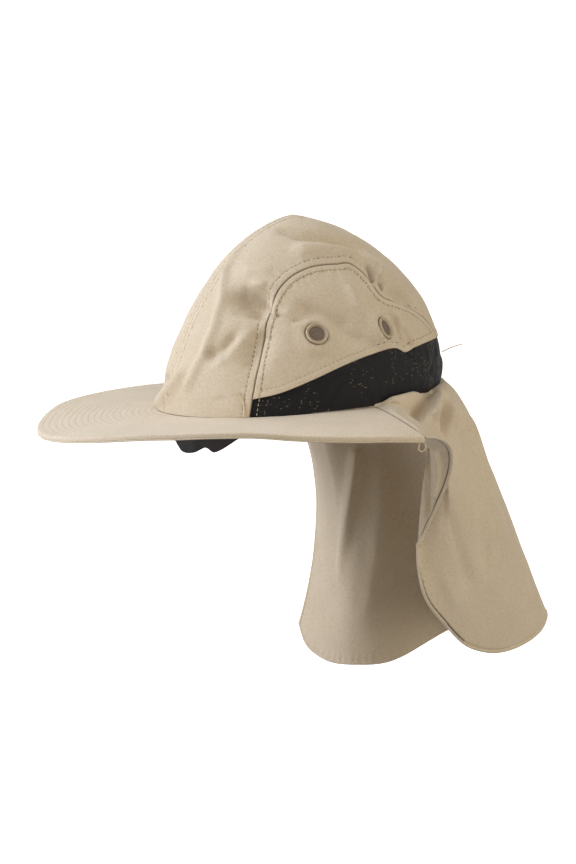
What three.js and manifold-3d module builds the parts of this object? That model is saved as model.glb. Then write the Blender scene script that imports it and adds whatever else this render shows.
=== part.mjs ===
// A floppy sun hat: a soft crown of four panels, a mesh band, a stiff brim and a neck cape.
// Millimetres, +Z up, the front of the hat towards -Y and the wearer's left at +X.
// The origin is the middle of the head opening, level with the underside of the brim.
// A turn is a plan angle in degrees, 0 at the left ear, -90 at the front and 90 at the back.

import * as THREE from "three";
import { mergeVertices } from "three/addons/utils/BufferGeometryUtils.js";
import Module from "manifold-3d";

const wasm = await Module();
wasm.setup();

// Head opening and crown
const headHalfWidth = 85;
const headHalfLength = 105;
const crownHeight = 134;
const crownRoundness = 1.6;
const crownLean = 7.5;
const apexShift = 3;
const crownBase = 4.5;
const clothThickness = 1.4;
const seamGap = 0.4;

// Mesh band
const meshThickness = 1.2;
const meshBase = 5.2;
const gatherStart = 22;
const gatherPitch = 6;
const gatherDepth = 0.9;

// Vents
const ventOuterRadius = 8.6;
const ventBoreRadius = 6.2;
const ventBarrelRadius = 6.8;
const ventHoleRadius = 7.2;
const ventRise = 1.8;
const ventSeat = 0.5;
const ventDepth = 2.6;
const ventDrillLength = 16;
const ventCalmRadius = 19;
const ventRimHeight = 0.6;
const ventRimBevel = 0.4;
const screenThickness = 0.6;
const screenGap = 0.2;

// Brim
const brimHalfWidth = 153;
const brimFront = 191.5;
const brimBack = 125;
const brimEndTurn = 11;
const brimThickness = 4.2;
const brimInset = 3;
const droopCurve = 1.4;

// Sweatband
const bandThickness = 1.5;
const bandInset = 3.4;
const bandTop = 22;

// Neck cape
const capeThickness = 1.4;
const capeSeamHeight = 3.1;
const capeSeamInset = 0.7;
const capeBrimGap = 0.7;
const capeSeamShare = 0.62;

// Fineness of the faceted surfaces
const crownColumns = 8;
const meshRearColumns = 14;
const meshRows = 3;
const brimColumns = 64;
const brimRows = 5;
const bandColumns = 24;
const bandRows = 4;
const capeRows = 14;
const ventSides = 20;
const weldTolerance = 1e-4;
const normalStep = 0.004;

const cloth = { color: 0xbfab86, roughness: 0.9, metalness: 0 };
const darkCloth = { color: 0x3b3534, roughness: 0.95, metalness: 0 };
const meshCloth = { color: 0x232222, roughness: 0.8, metalness: 0 };
const paintedBrass = { color: 0x8d7a62, roughness: 0.5, metalness: 0.4 };

// The curved seam round a side panel, from the brim up in front of the ear and down to the mesh
const sideSeam = [
  { turn: -40, height: 4.5 },
  { turn: -40, height: 16.4 },
  { turn: -39.7, height: 43.5 },
  { turn: -38.6, height: 66 },
  { turn: -35.5, height: 84 },
  { turn: -28.5, height: 94.6 },
  { turn: -20.8, height: 99.1 },
  { turn: -8, height: 101.9 },
  { turn: 4, height: 101.7 },
  { turn: 14.2, height: 100.6 },
  { turn: 20, height: 91 },
  { turn: 22.5, height: 77.5 },
  { turn: 33, height: 67 },
  { turn: 42.5, height: 55 },
  { turn: 50, height: 41.5 },
];

// Rows of sideSeam at which its four stretches end, and the facets along each stretch
const seamStretches = [
  { to: 1, facets: 2 },
  { to: 4, facets: 7 },
  { to: 9, facets: 20 },
  { to: 14, facets: 7 },
];

const meshTop = [
  { turn: -40, height: 16.4 },
  { turn: -29.3, height: 19.8 },
  { turn: -18, height: 26.4 },
  { turn: -4.1, height: 35 },
  { turn: 7.1, height: 39.8 },
  { turn: 20, height: 42 },
  { turn: 26.5, height: 38 },
  { turn: 35, height: 40.3 },
  { turn: 50, height: 41.5 },
  { turn: 90, height: 41 },
];

const vents = [
  { name: "front", turn: -15.2, height: 57.8 },
  { name: "rear", turn: 17.4, height: 57.1 },
];

// Folds and hollows of the soft crown, each along a bent line of turns and heights; those of the left
// side come again on the right side, shallower
const rightFoldShare = 0.5;
const rightFoldsStart = 5;
const rightFoldsFull = 25;
const crownFolds = [
  { name: "peak", line: [[-90, 133.5], [90, 133.5]], width: 8, rise: 2 },
  { name: "hollow of the temple", line: [[-41.2, 82.6], [-50.2, 85.3], [-59.2, 84.6]], width: 7, rise: -5 },
  { name: "ridge over the temple", line: [[-63.2, 96.1], [-50.5, 97.4], [-37.2, 95.9]], width: 5, rise: 2.2 },
  { name: "slanting valley", line: [[-51, 62.1], [-58.2, 49.1], [-68, 43.3]], width: 5, rise: -3 },
  { name: "valley before the seam", line: [[-43, 68.3], [-45.8, 50.3], [-47.5, 32]], width: 5, rise: -3.4 },
  { name: "roll over the bill", line: [[-78.5, 36.8], [-86.2, 21], [-94, 6]], width: 5, rise: 3.4 },
  {
    name: "hollow behind the peak",
    line: [[-58.5, 126.4], [-14.8, 122.6], [13, 116.6], [30.5, 111.6], [39.5, 104.1]],
    width: 5.5,
    rise: -4.6,
  },
  {
    name: "roll over the seam",
    line: [[-30.2, 108.9], [-16.2, 111.9], [7.2, 112.1], [26, 109.1], [32.8, 102.6]],
    width: 5,
    rise: 3.6,
  },
  { name: "first pleat", line: [[31.2, 100.9], [26.5, 94.4], [23.2, 87.1]], width: 4, rise: -3 },
  { name: "rear hollow", line: [[30.5, 82.6], [39.2, 78.1], [47, 71.8]], width: 7, rise: -3 },
  { name: "hollow over the vent", line: [[-22, 81.3], [-16.2, 75.6], [-10.5, 69.8]], width: 7, rise: -2.8 },
  {
    name: "long side ridge",
    line: [[4.8, 88.8], [6, 74.6], [11.8, 62.3], [16.2, 51.3], [20.5, 42]],
    width: 4.5,
    rise: 2.6,
  },
  { name: "hollow before the ridge", line: [[-4.8, 55.6], [1.8, 51.8], [7.5, 46.8]], width: 6, rise: -2.6 },
  { name: "valley behind the vent", line: [[24, 62.8], [25.5, 50.6], [28.8, 40.3]], width: 4, rise: -2.4 },
];

// How far the edge of the brim lies below (or above) the crown's seam
const brimDroop = [
  { turn: -191, drop: 11 },
  { turn: -165, drop: 1 },
  { turn: -131, drop: -0.5 },
  { turn: -110, drop: 5.2 },
  { turn: -90, drop: 5.4 },
  { turn: -70, drop: 1.6 },
  { turn: -50, drop: -2.3 },
  { turn: -31, drop: -2.2 },
  { turn: -20, drop: 2.3 },
  { turn: -5, drop: 7.9 },
  { turn: 11, drop: 13 },
];

// The sweatband's lower edge, turned down below the brim at the left of the forehead
const bandHem = [
  { turn: -165, height: 1 },
  { turn: -120, height: 0 },
  { turn: -95, height: -6 },
  { turn: -84, height: -16 },
  { turn: -78, height: -25 },
  { turn: -70, height: -25 },
  { turn: -62, height: -18 },
  { turn: -57, height: -20 },
  { turn: -45, height: -10.5 },
  { turn: -35, height: -2 },
  { turn: -15, height: 1 },
];

// The cape hangs in folds. Each row is one line of cloth from the seam (at: -1 is the left free edge,
// 1 the right one) over a shoulder and past a knee down to its foot at the hem.
const capeLines = [
  { at: -1, shoulder: [144, 52, -10], knee: [116, 75, -37], foot: [107, 35, -91] },
  { at: -0.95, shoulder: [125, 46, -17], knee: [85, 48, -61], foot: [108, 35, -108] },
  { at: -0.89, shoulder: [121, 60, -4], knee: [99, 65, -80], foot: [106, 40, -130] },
  { at: -0.81, shoulder: [124, 65, -2], knee: [104, 71, -100], foot: [98, 57, -152] },
  { at: -0.72, shoulder: [111, 71, 5], knee: [98, 91, -112], foot: [92, 80, -175] },
  { at: -0.6, shoulder: [94, 87, 13], knee: [90, 116, -121], foot: [82, 114, -186] },
  { at: -0.42, shoulder: [67, 103, 21], knee: [72, 132, -99], foot: [64, 155, -181] },
  { at: -0.27, shoulder: [42, 113, 26], knee: [48, 135, -88], foot: [40, 173, -172] },
  { at: -0.05, shoulder: [2, 130, 25], knee: [-8, 134, -95], foot: [-19, 169, -184] },
  { at: 0.12, shoulder: [-42, 130, 13], knee: [-64, 132, -110], foot: [-74, 152, -207] },
  { at: 0.38, shoulder: [-72, 89, 8], knee: [-68, 96, -112], foot: [-69, 98, -223] },
  { at: 0.55, shoulder: [-88, 61, 6], knee: [-75, 81, -108], foot: [-76, 67, -223] },
  { at: 0.7, shoulder: [-99, 61, 2], knee: [-91, 79, -110], foot: [-93, 52, -221] },
  { at: 0.86, shoulder: [-117, 67, -5], knee: [-110, 80, -112], foot: [-114, 45, -212] },
  { at: 1, shoulder: [-146, 76, -13], knee: [-128, 86, -94], foot: [-129, 46, -198] },
];

// Stretches of the cape's width with the facets across each, closest where the left edge rolls over
const capeSpans = [
  { from: -1, to: -0.8, facets: 9 },
  { from: -0.8, to: 1, facets: 30 },
];

const radians = THREE.MathUtils.degToRad;

function steps(from, to, count) {
  return Array.from({ length: count + 1 }, (_, k) => from + ((to - from) * k) / count);
}

// A smooth value through a table's rows, each row's value taken by read
function smooth(rows, read, key, x) {
  const last = rows.length - 1;
  const at = THREE.MathUtils.clamp(x, rows[0][key], rows[last][key]);
  const k = Math.min(Math.max(rows.findLastIndex((row) => row[key] <= at), 0), last - 1);
  const slope = (i) => {
    const a = rows[Math.max(i - 1, 0)];
    const b = rows[Math.min(i + 1, last)];
    return (read(b) - read(a)) / (b[key] - a[key]);
  };
  const span = rows[k + 1][key] - rows[k][key];
  const s = (at - rows[k][key]) / span;
  const start = (2 * s ** 3 - 3 * s ** 2 + 1) * read(rows[k]) + (s ** 3 - 2 * s ** 2 + s) * span * slope(k);
  const end = (3 * s ** 2 - 2 * s ** 3) * read(rows[k + 1]) + (s ** 3 - s ** 2) * span * slope(k + 1);
  return start + end;
}

// A point on the unit disc that the dome is drawn from: its centre is the peak, its rim the head opening
function onDisc(turn, height) {
  const radius = (2 / Math.PI) * Math.acos(height / crownHeight);
  return new THREE.Vector2(radius * Math.cos(radians(turn)), radius * Math.sin(radians(turn)));
}

function domePoint(disc) {
  const arc = (Math.PI / 2) * disc.length();
  const spread = Math.abs(Math.sin(arc)) ** (2 / crownRoundness);
  const height = crownHeight * Math.cos(arc);
  const level = Math.max(height / crownHeight, 0);
  const lean = apexShift * level + 4 * crownLean * level * (1 - level);
  const angle = disc.angle();
  return new THREE.Vector3(
    headHalfWidth * spread * Math.cos(angle),
    lean + headHalfLength * spread * Math.sin(angle),
    height,
  );
}

function normalOf(surface, disc) {
  const across = surface(new THREE.Vector2(disc.x + normalStep, disc.y));
  across.sub(surface(new THREE.Vector2(disc.x - normalStep, disc.y)));
  const along = surface(new THREE.Vector2(disc.x, disc.y + normalStep));
  along.sub(surface(new THREE.Vector2(disc.x, disc.y - normalStep)));
  return across.cross(along).normalize();
}

const foldLines = crownFolds.map((fold) => ({
  ...fold,
  line: fold.line.map((place) => domePoint(onDisc(...place))),
}));

// How strongly a fold acts on a point: 1 on its line, fading over its width
function pullOf(fold, point) {
  const nearest = new THREE.Vector3();
  const gaps = fold.line.slice(1).map((end, k) => {
    new THREE.Line3(fold.line[k], end).closestPointToPoint(point, true, nearest);
    return nearest.distanceTo(point);
  });
  return Math.exp(-((Math.min(...gaps) / fold.width) ** 2));
}

const ventSpots = vents.map(({ turn, height }) => domePoint(onDisc(turn, height)));

// How freely the cloth folds at a point: it is held flat round each vent
function slackAt(point) {
  const leftPoint = new THREE.Vector3(Math.abs(point.x), point.y, point.z);
  const slackBeside = (spot) =>
    THREE.MathUtils.smoothstep(spot.distanceTo(leftPoint), ventOuterRadius, ventCalmRadius);
  return Math.min(...ventSpots.map(slackBeside));
}

function foldRise(point) {
  const mirrored = new THREE.Vector3(-point.x, point.y, point.z);
  const rightShare = rightFoldShare * THREE.MathUtils.smoothstep(-point.x, rightFoldsStart, rightFoldsFull);
  const rises = foldLines.map((fold) => {
    const pull = pullOf(fold, point) + rightShare * pullOf(fold, mirrored);
    return fold.rise * pull;
  });
  return slackAt(point) * rises.reduce((sum, rise) => sum + rise, 0);
}

// The outer face of the crown's cloth
function clothPoint(disc) {
  const point = domePoint(disc);
  return point.addScaledVector(normalOf(domePoint, disc), foldRise(point));
}

// A closed wall between two equal grids of points
function wall(outer, inner) {
  const rows = outer.length;
  const columns = outer[0].length;
  const points = [...outer.flat(), ...inner.flat()];
  const triangles = [];
  const outerAt = (i, j) => i * columns + j;
  const innerAt = (i, j) => rows * columns + i * columns + j;
  const quad = (a, b, c, d) => triangles.push(a, b, c, a, c, d);
  for (let i = 0; i < rows - 1; i += 1) {
    for (let j = 0; j < columns - 1; j += 1) {
      quad(outerAt(i, j), outerAt(i, j + 1), outerAt(i + 1, j + 1), outerAt(i + 1, j));
      quad(innerAt(i, j), innerAt(i + 1, j), innerAt(i + 1, j + 1), innerAt(i, j + 1));
    }
    quad(outerAt(i, 0), outerAt(i + 1, 0), innerAt(i + 1, 0), innerAt(i, 0));
    const last = columns - 1;
    quad(outerAt(i + 1, last), outerAt(i, last), innerAt(i, last), innerAt(i + 1, last));
  }
  for (let j = 0; j < columns - 1; j += 1) {
    quad(outerAt(0, j + 1), outerAt(0, j), innerAt(0, j), innerAt(0, j + 1));
    quad(outerAt(rows - 1, j), outerAt(rows - 1, j + 1), innerAt(rows - 1, j + 1), innerAt(rows - 1, j));
  }
  return facingOut(points, triangles);
}

function facingOut(points, triangles) {
  let volume = 0;
  for (let k = 0; k < triangles.length; k += 3) {
    const [a, b, c] = triangles.slice(k, k + 3).map((index) => points[index]);
    volume += a.dot(b.clone().cross(c));
  }
  const geometry = new THREE.BufferGeometry().setFromPoints(points);
  geometry.setIndex(volume > 0 ? triangles : triangles.reverse());
  geometry.computeVertexNormals();
  return geometry;
}

// Fills a four-sided patch of the disc from its edges
function patch(front, back, inner, outer) {
  const columns = front.length - 1;
  const rows = inner.length - 1;
  return inner.map((_, i) =>
    front.map((__, j) => {
      const u = j / columns;
      const v = i / rows;
      return new THREE.Vector2()
        .addScaledVector(front[j], 1 - v)
        .addScaledVector(back[j], v)
        .addScaledVector(inner[i], 1 - u)
        .addScaledVector(outer[i], u)
        .addScaledVector(front[0], -(1 - u) * (1 - v))
        .addScaledVector(front[columns], -u * (1 - v))
        .addScaledVector(back[0], -(1 - u) * v)
        .addScaledVector(back[columns], -u * v);
    }),
  );
}

// Draws the edges of a patch in by half the seam gap
function drawIn(grid) {
  const rows = grid.length - 1;
  const columns = grid[0].length - 1;
  const pull = (edge, inside) => {
    const width = clothPoint(edge).distanceTo(clothPoint(inside));
    edge.lerp(inside, seamGap / 2 / width);
  };
  for (let i = 0; i <= rows; i += 1) {
    pull(grid[i][0], grid[i][1]);
    pull(grid[i][columns], grid[i][columns - 1]);
  }
  for (let j = 0; j <= columns; j += 1) {
    pull(grid[0][j], grid[1][j]);
    pull(grid[rows][j], grid[rows - 1][j]);
  }
  return grid;
}

function crownWall(grid, thickness, depthAt = () => 0) {
  const shell = (extra) =>
    grid.map((row) =>
      row.map((disc) => clothPoint(disc).addScaledVector(normalOf(clothPoint, disc), -extra - depthAt(disc))),
    );
  return wall(shell(0), shell(thickness));
}

const seamCurve = new THREE.SplineCurve(sideSeam.map(({ turn, height }) => onDisc(turn, height)));

// Points of the side seam from one stretch to another, without repeating the joins
function seamPoints(first, last) {
  const points = [];
  for (let k = first; k <= last; k += 1) {
    const start = k ? seamStretches[k - 1].to : 0;
    const share = steps(start, seamStretches[k].to, seamStretches[k].facets);
    const stretch = share.map((row) => seamCurve.getPoint(row / (sideSeam.length - 1)));
    points.push(...(points.length ? stretch.slice(1) : stretch));
  }
  return points;
}

const seamFrontTurn = sideSeam[0].turn;
const seamRearTurn = sideSeam.at(-1).turn;

function meshTopAt(turn) {
  return onDisc(turn, smooth(meshTop, (row) => row.height, "turn", turn));
}

// Mirrors a disc point for the right side of the hat
function onSide(side) {
  return (disc) => new THREE.Vector2(side * disc.x, disc.y);
}

function topPanel(side) {
  const outer = seamPoints(0, 3);
  const front = steps(-90, seamFrontTurn, crownColumns).map((turn) => onDisc(turn, crownBase));
  const back = steps(90, seamRearTurn, crownColumns).map(meshTopAt);
  const rows = outer.length - 1;
  const inner = outer.map((_, i) => front[0].clone().lerp(back[0], i / rows));
  const grid = patch(front, back, inner, outer).map((row) => row.map(onSide(side)));
  return crownWall(drawIn(grid), clothThickness);
}

function ventPlace(vent, side) {
  const disc = onSide(side)(onDisc(vent.turn, vent.height));
  return { centre: clothPoint(disc), normal: normalOf(clothPoint, disc) };
}

function sidePanel(side) {
  const front = seamPoints(1, 1);
  const upper = seamPoints(2, 2);
  const rear = seamPoints(3, 3).reverse();
  const lower = steps(seamFrontTurn, seamRearTurn, upper.length - 1).map(meshTopAt);
  const grid = patch(lower, upper, front, rear).map((row) => row.map(onSide(side)));
  const holes = vents.map((vent) => {
    const { centre, normal } = ventPlace(vent, side);
    const hole = new THREE.CylinderGeometry(ventHoleRadius, ventHoleRadius, ventDrillLength, ventSides);
    hole.applyQuaternion(new THREE.Quaternion().setFromUnitVectors(new THREE.Vector3(0, 1, 0), normal));
    return hole.translate(centre.x, centre.y, centre.z);
  });
  return cut(crownWall(drawIn(grid), clothThickness), holes);
}

function toManifold(geometry) {
  const bare = geometry.clone();
  bare.deleteAttribute("normal");
  bare.deleteAttribute("uv");
  const merged = mergeVertices(bare, weldTolerance);
  return new wasm.Manifold(
    new wasm.Mesh({
      numProp: 3,
      vertProperties: new Float32Array(merged.attributes.position.array),
      triVerts: new Uint32Array(merged.index.array),
    }),
  );
}

function cut(geometry, tools) {
  const solid = tools.reduce((body, tool) => body.subtract(toManifold(tool)), toManifold(geometry));
  const mesh = solid.getMesh();
  const result = new THREE.BufferGeometry();
  result.setAttribute("position", new THREE.BufferAttribute(new Float32Array(mesh.vertProperties), 3));
  result.setIndex(new THREE.BufferAttribute(new Uint32Array(mesh.triVerts), 1));
  result.computeVertexNormals();
  return result;
}

// The mesh is gathered by elastic at the back, in upright ribs that fade at both edges
function meshBand(side) {
  const underSide = steps(seamFrontTurn, seamRearTurn, seamStretches[2].facets);
  const turns = [...underSide, ...steps(seamRearTurn, 90, meshRearColumns).slice(1)];
  const bottom = turns.map((turn) => onDisc(turn, meshBase));
  const top = turns.map(meshTopAt);
  const sideEdge = (k) => steps(0, 1, meshRows).map((share) => bottom[k].clone().lerp(top[k], share));
  const leftGrid = patch(bottom, top, sideEdge(0), sideEdge(turns.length - 1));
  const grid = leftGrid.map((row) => row.map(onSide(side)));
  const gather = (disc) => {
    const turn = THREE.MathUtils.radToDeg(Math.atan2(disc.y, Math.abs(disc.x)));
    const height = domePoint(disc).z;
    const upright = Math.sin((Math.PI * (height - meshBase)) / (meshTop.at(-1).height - meshBase));
    const strength = THREE.MathUtils.smoothstep(turn, gatherStart, gatherStart + 2 * gatherPitch);
    const rib = Math.cos((2 * Math.PI * (turn - gatherStart)) / (2 * gatherPitch));
    return -gatherDepth * Math.max(upright, 0) * strength * rib;
  };
  return crownWall(drawIn(grid), meshThickness, gather);
}

function ventRing() {
  const profile = [
    [ventBoreRadius, -ventDepth],
    [ventBarrelRadius, -ventDepth],
    [ventBarrelRadius, ventSeat],
    [ventOuterRadius, ventSeat],
    [ventOuterRadius - ventRimBevel, ventSeat + ventRimHeight],
    [(ventBoreRadius + ventOuterRadius) / 2, ventRise],
    [ventBoreRadius, ventSeat + ventRimHeight],
    [ventBoreRadius, -ventDepth],
  ];
  return solidLathe(profile);
}

function ventScreen() {
  const radius = ventBoreRadius - screenGap;
  return solidLathe([
    [0, -screenThickness],
    [radius, -screenThickness],
    [radius, 0],
    [0, 0],
  ]);
}

function solidLathe(profile) {
  const lathe = new THREE.LatheGeometry(profile.map(([r, y]) => new THREE.Vector2(r, y)), ventSides);
  lathe.deleteAttribute("normal");
  lathe.deleteAttribute("uv");
  const merged = mergeVertices(lathe, weldTolerance);
  const { position } = merged.attributes;
  const index = Array.from(merged.index.array);
  const pointAt = (_, k) => new THREE.Vector3().fromBufferAttribute(position, k);
  const points = Array.from({ length: position.count }, pointAt);
  const triangles = [];
  for (let k = 0; k < index.length; k += 3) {
    const [a, b, c] = index.slice(k, k + 3);
    if (a !== b && b !== c && c !== a) triangles.push(a, b, c);
  }
  return facingOut(points, triangles);
}

// A point on the top of the brim: share 0 is its inner edge under the crown, 1 its outer edge
function brimPoint(turn, share) {
  const cos = Math.cos(radians(turn));
  const sin = Math.sin(radians(turn));
  const reach = sin > 0 ? brimBack : brimFront;
  const drop = smooth(brimDroop, (row) => row.drop, "turn", turn);
  return new THREE.Vector3(
    THREE.MathUtils.lerp(headHalfWidth - brimInset, brimHalfWidth, share) * cos,
    THREE.MathUtils.lerp(headHalfLength - brimInset, reach, share) * sin,
    brimThickness - drop * share ** droopCurve,
  );
}

function brim() {
  const turns = steps(-180 - brimEndTurn, brimEndTurn, brimColumns);
  const layer = (depth) =>
    steps(0, 1, brimRows).map((share) =>
      turns.map((turn) => brimPoint(turn, share).add(new THREE.Vector3(0, 0, -depth))),
    );
  return wall(layer(0), layer(brimThickness));
}

function sweatband() {
  const turns = steps(bandHem[0].turn, bandHem.at(-1).turn, bandColumns);
  const layer = (inset) =>
    steps(0, 1, bandRows).map((share) =>
      turns.map((turn) => {
        const hem = smooth(bandHem, (row) => row.height, "turn", turn);
        const height = THREE.MathUtils.lerp(hem, bandTop, share);
        const point = domePoint(onDisc(turn, Math.max(height, 0)));
        point.x -= inset * Math.cos(radians(turn));
        point.y -= inset * Math.sin(radians(turn));
        point.z = height;
        return point;
      }),
    );
  return wall(layer(bandInset), layer(bandInset + bandThickness));
}

// The seam that the cape hangs from: along one end of the brim, round the crown and along the other end
function capeSeam(at) {
  const side = at < 0 ? 1 : -1;
  const reach = Math.abs(at);
  if (reach < capeSeamShare) {
    const turn = radians(90 - ((90 - brimEndTurn) * reach) / capeSeamShare);
    return new THREE.Vector3(
      side * (headHalfWidth - capeSeamInset) * Math.cos(turn),
      (headHalfLength - capeSeamInset) * Math.sin(turn),
      capeSeamHeight,
    );
  }
  const innerShare = (brimInset - capeSeamInset) / (brimHalfWidth - headHalfWidth + brimInset);
  const share = THREE.MathUtils.mapLinear(reach, capeSeamShare, 1, innerShare, 1);
  const point = brimPoint(side > 0 ? brimEndTurn : -180 - brimEndTurn, share);
  return point.add(new THREE.Vector3(0, capeBrimGap, -brimThickness / 2));
}

function capePoint(at, fall) {
  const blend = (name) =>
    new THREE.Vector3(...[0, 1, 2].map((axis) => smooth(capeLines, (row) => row[name][axis], "at", at)));
  const line = new THREE.CubicBezierCurve3(capeSeam(at), blend("shoulder"), blend("knee"), blend("foot"));
  return line.getPoint(fall);
}

function neckCape() {
  const across = capeSpans.flatMap(({ from, to, facets }, k) => steps(from, to, facets).slice(k ? 1 : 0));
  const sheet = steps(0, 1, capeRows).map((fall) => across.map((at) => capePoint(at, fall)));
  const { clamp } = THREE.MathUtils;
  const at = (i, j) => sheet[clamp(i, 0, capeRows)][clamp(j, 0, across.length - 1)];
  const layer = (depth) =>
    sheet.map((row, i) =>
      row.map((point, j) => {
        const alongRow = at(i, j + 1).clone().sub(at(i, j - 1));
        const downLine = at(i + 1, j).clone().sub(at(i - 1, j));
        return point.clone().addScaledVector(alongRow.cross(downLine).normalize(), depth);
      }),
    );
  return wall(layer(capeThickness / 2), layer(-capeThickness / 2));
}

const hat = new THREE.Group();

function place(name, geometry, look) {
  const mesh = new THREE.Mesh(geometry, new THREE.MeshStandardMaterial(look));
  mesh.name = name;
  hat.add(mesh);
  return mesh;
}

for (const [word, side] of [["left", 1], ["right", -1]]) {
  place(`crown_top_${word}`, topPanel(side), cloth);
  place(`crown_side_${word}`, sidePanel(side), cloth);
  place(`mesh_band_${word}`, meshBand(side), meshCloth);
  for (const vent of vents) {
    const { centre, normal } = ventPlace(vent, side);
    const ring = place(`vent_ring_${vent.name}_${word}`, ventRing(), paintedBrass);
    const screen = place(`vent_screen_${vent.name}_${word}`, ventScreen(), paintedBrass);
    for (const mesh of [ring, screen]) {
      mesh.position.copy(centre);
      mesh.quaternion.setFromUnitVectors(new THREE.Vector3(0, 1, 0), normal);
    }
  }
}
place("brim", brim(), cloth);
place("sweatband", sweatband(), darkCloth);
place("neck_cape", neckCape(), cloth);

export default hat;
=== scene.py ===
# Floppy sun hat with a mesh band and a neck cape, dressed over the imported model.
# Shapes are worked out in millimetres, and a mesh turns them to metres.
# A turn is a plan angle in degrees: 0 at the left ear, -90 at the front, 90 at the back.
import math

import bpy
import numpy as np
from mathutils import Matrix, Vector


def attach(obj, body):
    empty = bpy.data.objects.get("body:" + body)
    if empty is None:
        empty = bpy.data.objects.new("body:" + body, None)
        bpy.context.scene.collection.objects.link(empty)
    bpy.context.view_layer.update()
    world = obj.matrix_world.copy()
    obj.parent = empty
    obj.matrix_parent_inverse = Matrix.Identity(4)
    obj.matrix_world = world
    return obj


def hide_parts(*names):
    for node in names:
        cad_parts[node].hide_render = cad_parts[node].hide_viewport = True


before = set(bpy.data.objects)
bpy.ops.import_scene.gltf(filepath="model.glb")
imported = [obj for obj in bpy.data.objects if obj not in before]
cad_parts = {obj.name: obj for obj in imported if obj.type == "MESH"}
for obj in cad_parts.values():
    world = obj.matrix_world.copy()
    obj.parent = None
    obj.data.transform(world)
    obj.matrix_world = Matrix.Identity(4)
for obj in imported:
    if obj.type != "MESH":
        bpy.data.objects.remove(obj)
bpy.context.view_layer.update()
mm = 0.001
wearerSides = (("Left", 1), ("Right", -1))

# Shared by the relief and the looks, in mm. The seam map puts a row of stitches at mapRow from its seam's
# groove, and cloth that shows none at unmapped.
sewing = {"stitchPitch": 3.2, "mapRow": 5, "unmapped": 50, "quiltSpacing": 4.6}


# Small tools for rows of numbers and for lines of points

def smoothRows(rows, x):  # a smooth value at x, through rows of place and value
    xs, ys = np.array(rows, float).T
    slope = np.empty_like(ys)
    slope[1:-1] = (ys[2:] - ys[:-2]) / (xs[2:] - xs[:-2])
    slope[0] = (ys[1] - ys[0]) / (xs[1] - xs[0])
    slope[-1] = (ys[-1] - ys[-2]) / (xs[-1] - xs[-2])
    x = np.clip(np.asarray(x, float), xs[0], xs[-1])
    k = np.clip(np.searchsorted(xs, x, side="right") - 1, 0, len(xs) - 2)
    span = xs[k + 1] - xs[k]
    s = (x - xs[k]) / span
    start = (2 * s**3 - 3 * s**2 + 1) * ys[k] + (s**3 - 2 * s**2 + s) * span * slope[k]
    return start + (3 * s**2 - 2 * s**3) * ys[k + 1] + (s**3 - s**2) * span * slope[k + 1]


def smoothLine(places, points, x):  # the same through points that stand at given places
    return np.stack([smoothRows(np.column_stack([places, values]), x) for values in zip(*points)], -1)


def ramp(x, low, high):
    s = np.clip((np.asarray(x, float) - low) / (high - low), 0, 1)
    return s * s * (3 - 2 * s)


def bell(x, width):
    return np.exp(-((x / width) ** 2))


def unit(v):
    return v / np.maximum(np.linalg.norm(v, axis=-1, keepdims=True), 1e-12)


def lengthAlong(line):  # how far along a line each of its points lies
    return np.concatenate([[0], np.cumsum(np.linalg.norm(np.diff(line, axis=0), axis=1))])


def crumple(points, size, seed):  # soft lumps of one size, from -1 to 1
    p = np.asarray(points, float) / size + seed * 17.31
    cell = np.floor(p).astype(np.int64)
    s = p - cell
    s = s * s * (3 - 2 * s)
    total = np.zeros(p.shape[:-1])
    for corner in np.ndindex(2, 2, 2):
        c = cell + np.array(corner)
        h = (c[..., 0] * 73856093) ^ (c[..., 1] * 19349663) ^ (c[..., 2] * 83492791)  # a hash of the corner
        h = (h ^ (h >> 13)) * 1274126177
        value = ((h ^ (h >> 16)) & 0xFFFF) / 32767.5 - 1
        weight = np.prod(np.where(np.array(corner) == 1, s, 1 - s), axis=-1)
        total += weight * value
    return total


def softLumps(points, rows):  # a row is a rise, a size, how upright the lumps stand, and a seed
    return sum(rise * crumple(points * [1, 1, upright], size, seed) for rise, size, upright, seed in rows)


def nearestOn(line, points, chunk=4000):  # distance to a line of points, and how far along it
    arc = lengthAlong(line)
    flat = points.reshape(-1, 3)
    gap, along = np.empty(len(flat)), np.empty(len(flat))
    square = (line**2).sum(1)
    for k in range(0, len(flat), chunk):
        part = flat[k : k + chunk]
        d = (part**2).sum(1)[:, None] + square[None] - 2 * part @ line.T
        best = d.argmin(1)
        gap[k : k + chunk] = np.sqrt(np.maximum(d[np.arange(len(part)), best], 0))
        along[k : k + chunk] = arc[best]
    return gap.reshape(points.shape[:-1]), along.reshape(points.shape[:-1])


def nearestSeam(lines, points):  # the same for the nearest of several lines
    gap = np.full(points.shape[:-1], 1e9)
    along = np.zeros(points.shape[:-1])
    for line in lines:
        d, a = nearestOn(line, points)
        along = np.where(d < gap, a, along)
        gap = np.minimum(gap, d)
    return gap, along


foldEnds = {"least": 0.3, "reach": 1.6}     # a fold fades towards its ends over this many of its widths


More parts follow.
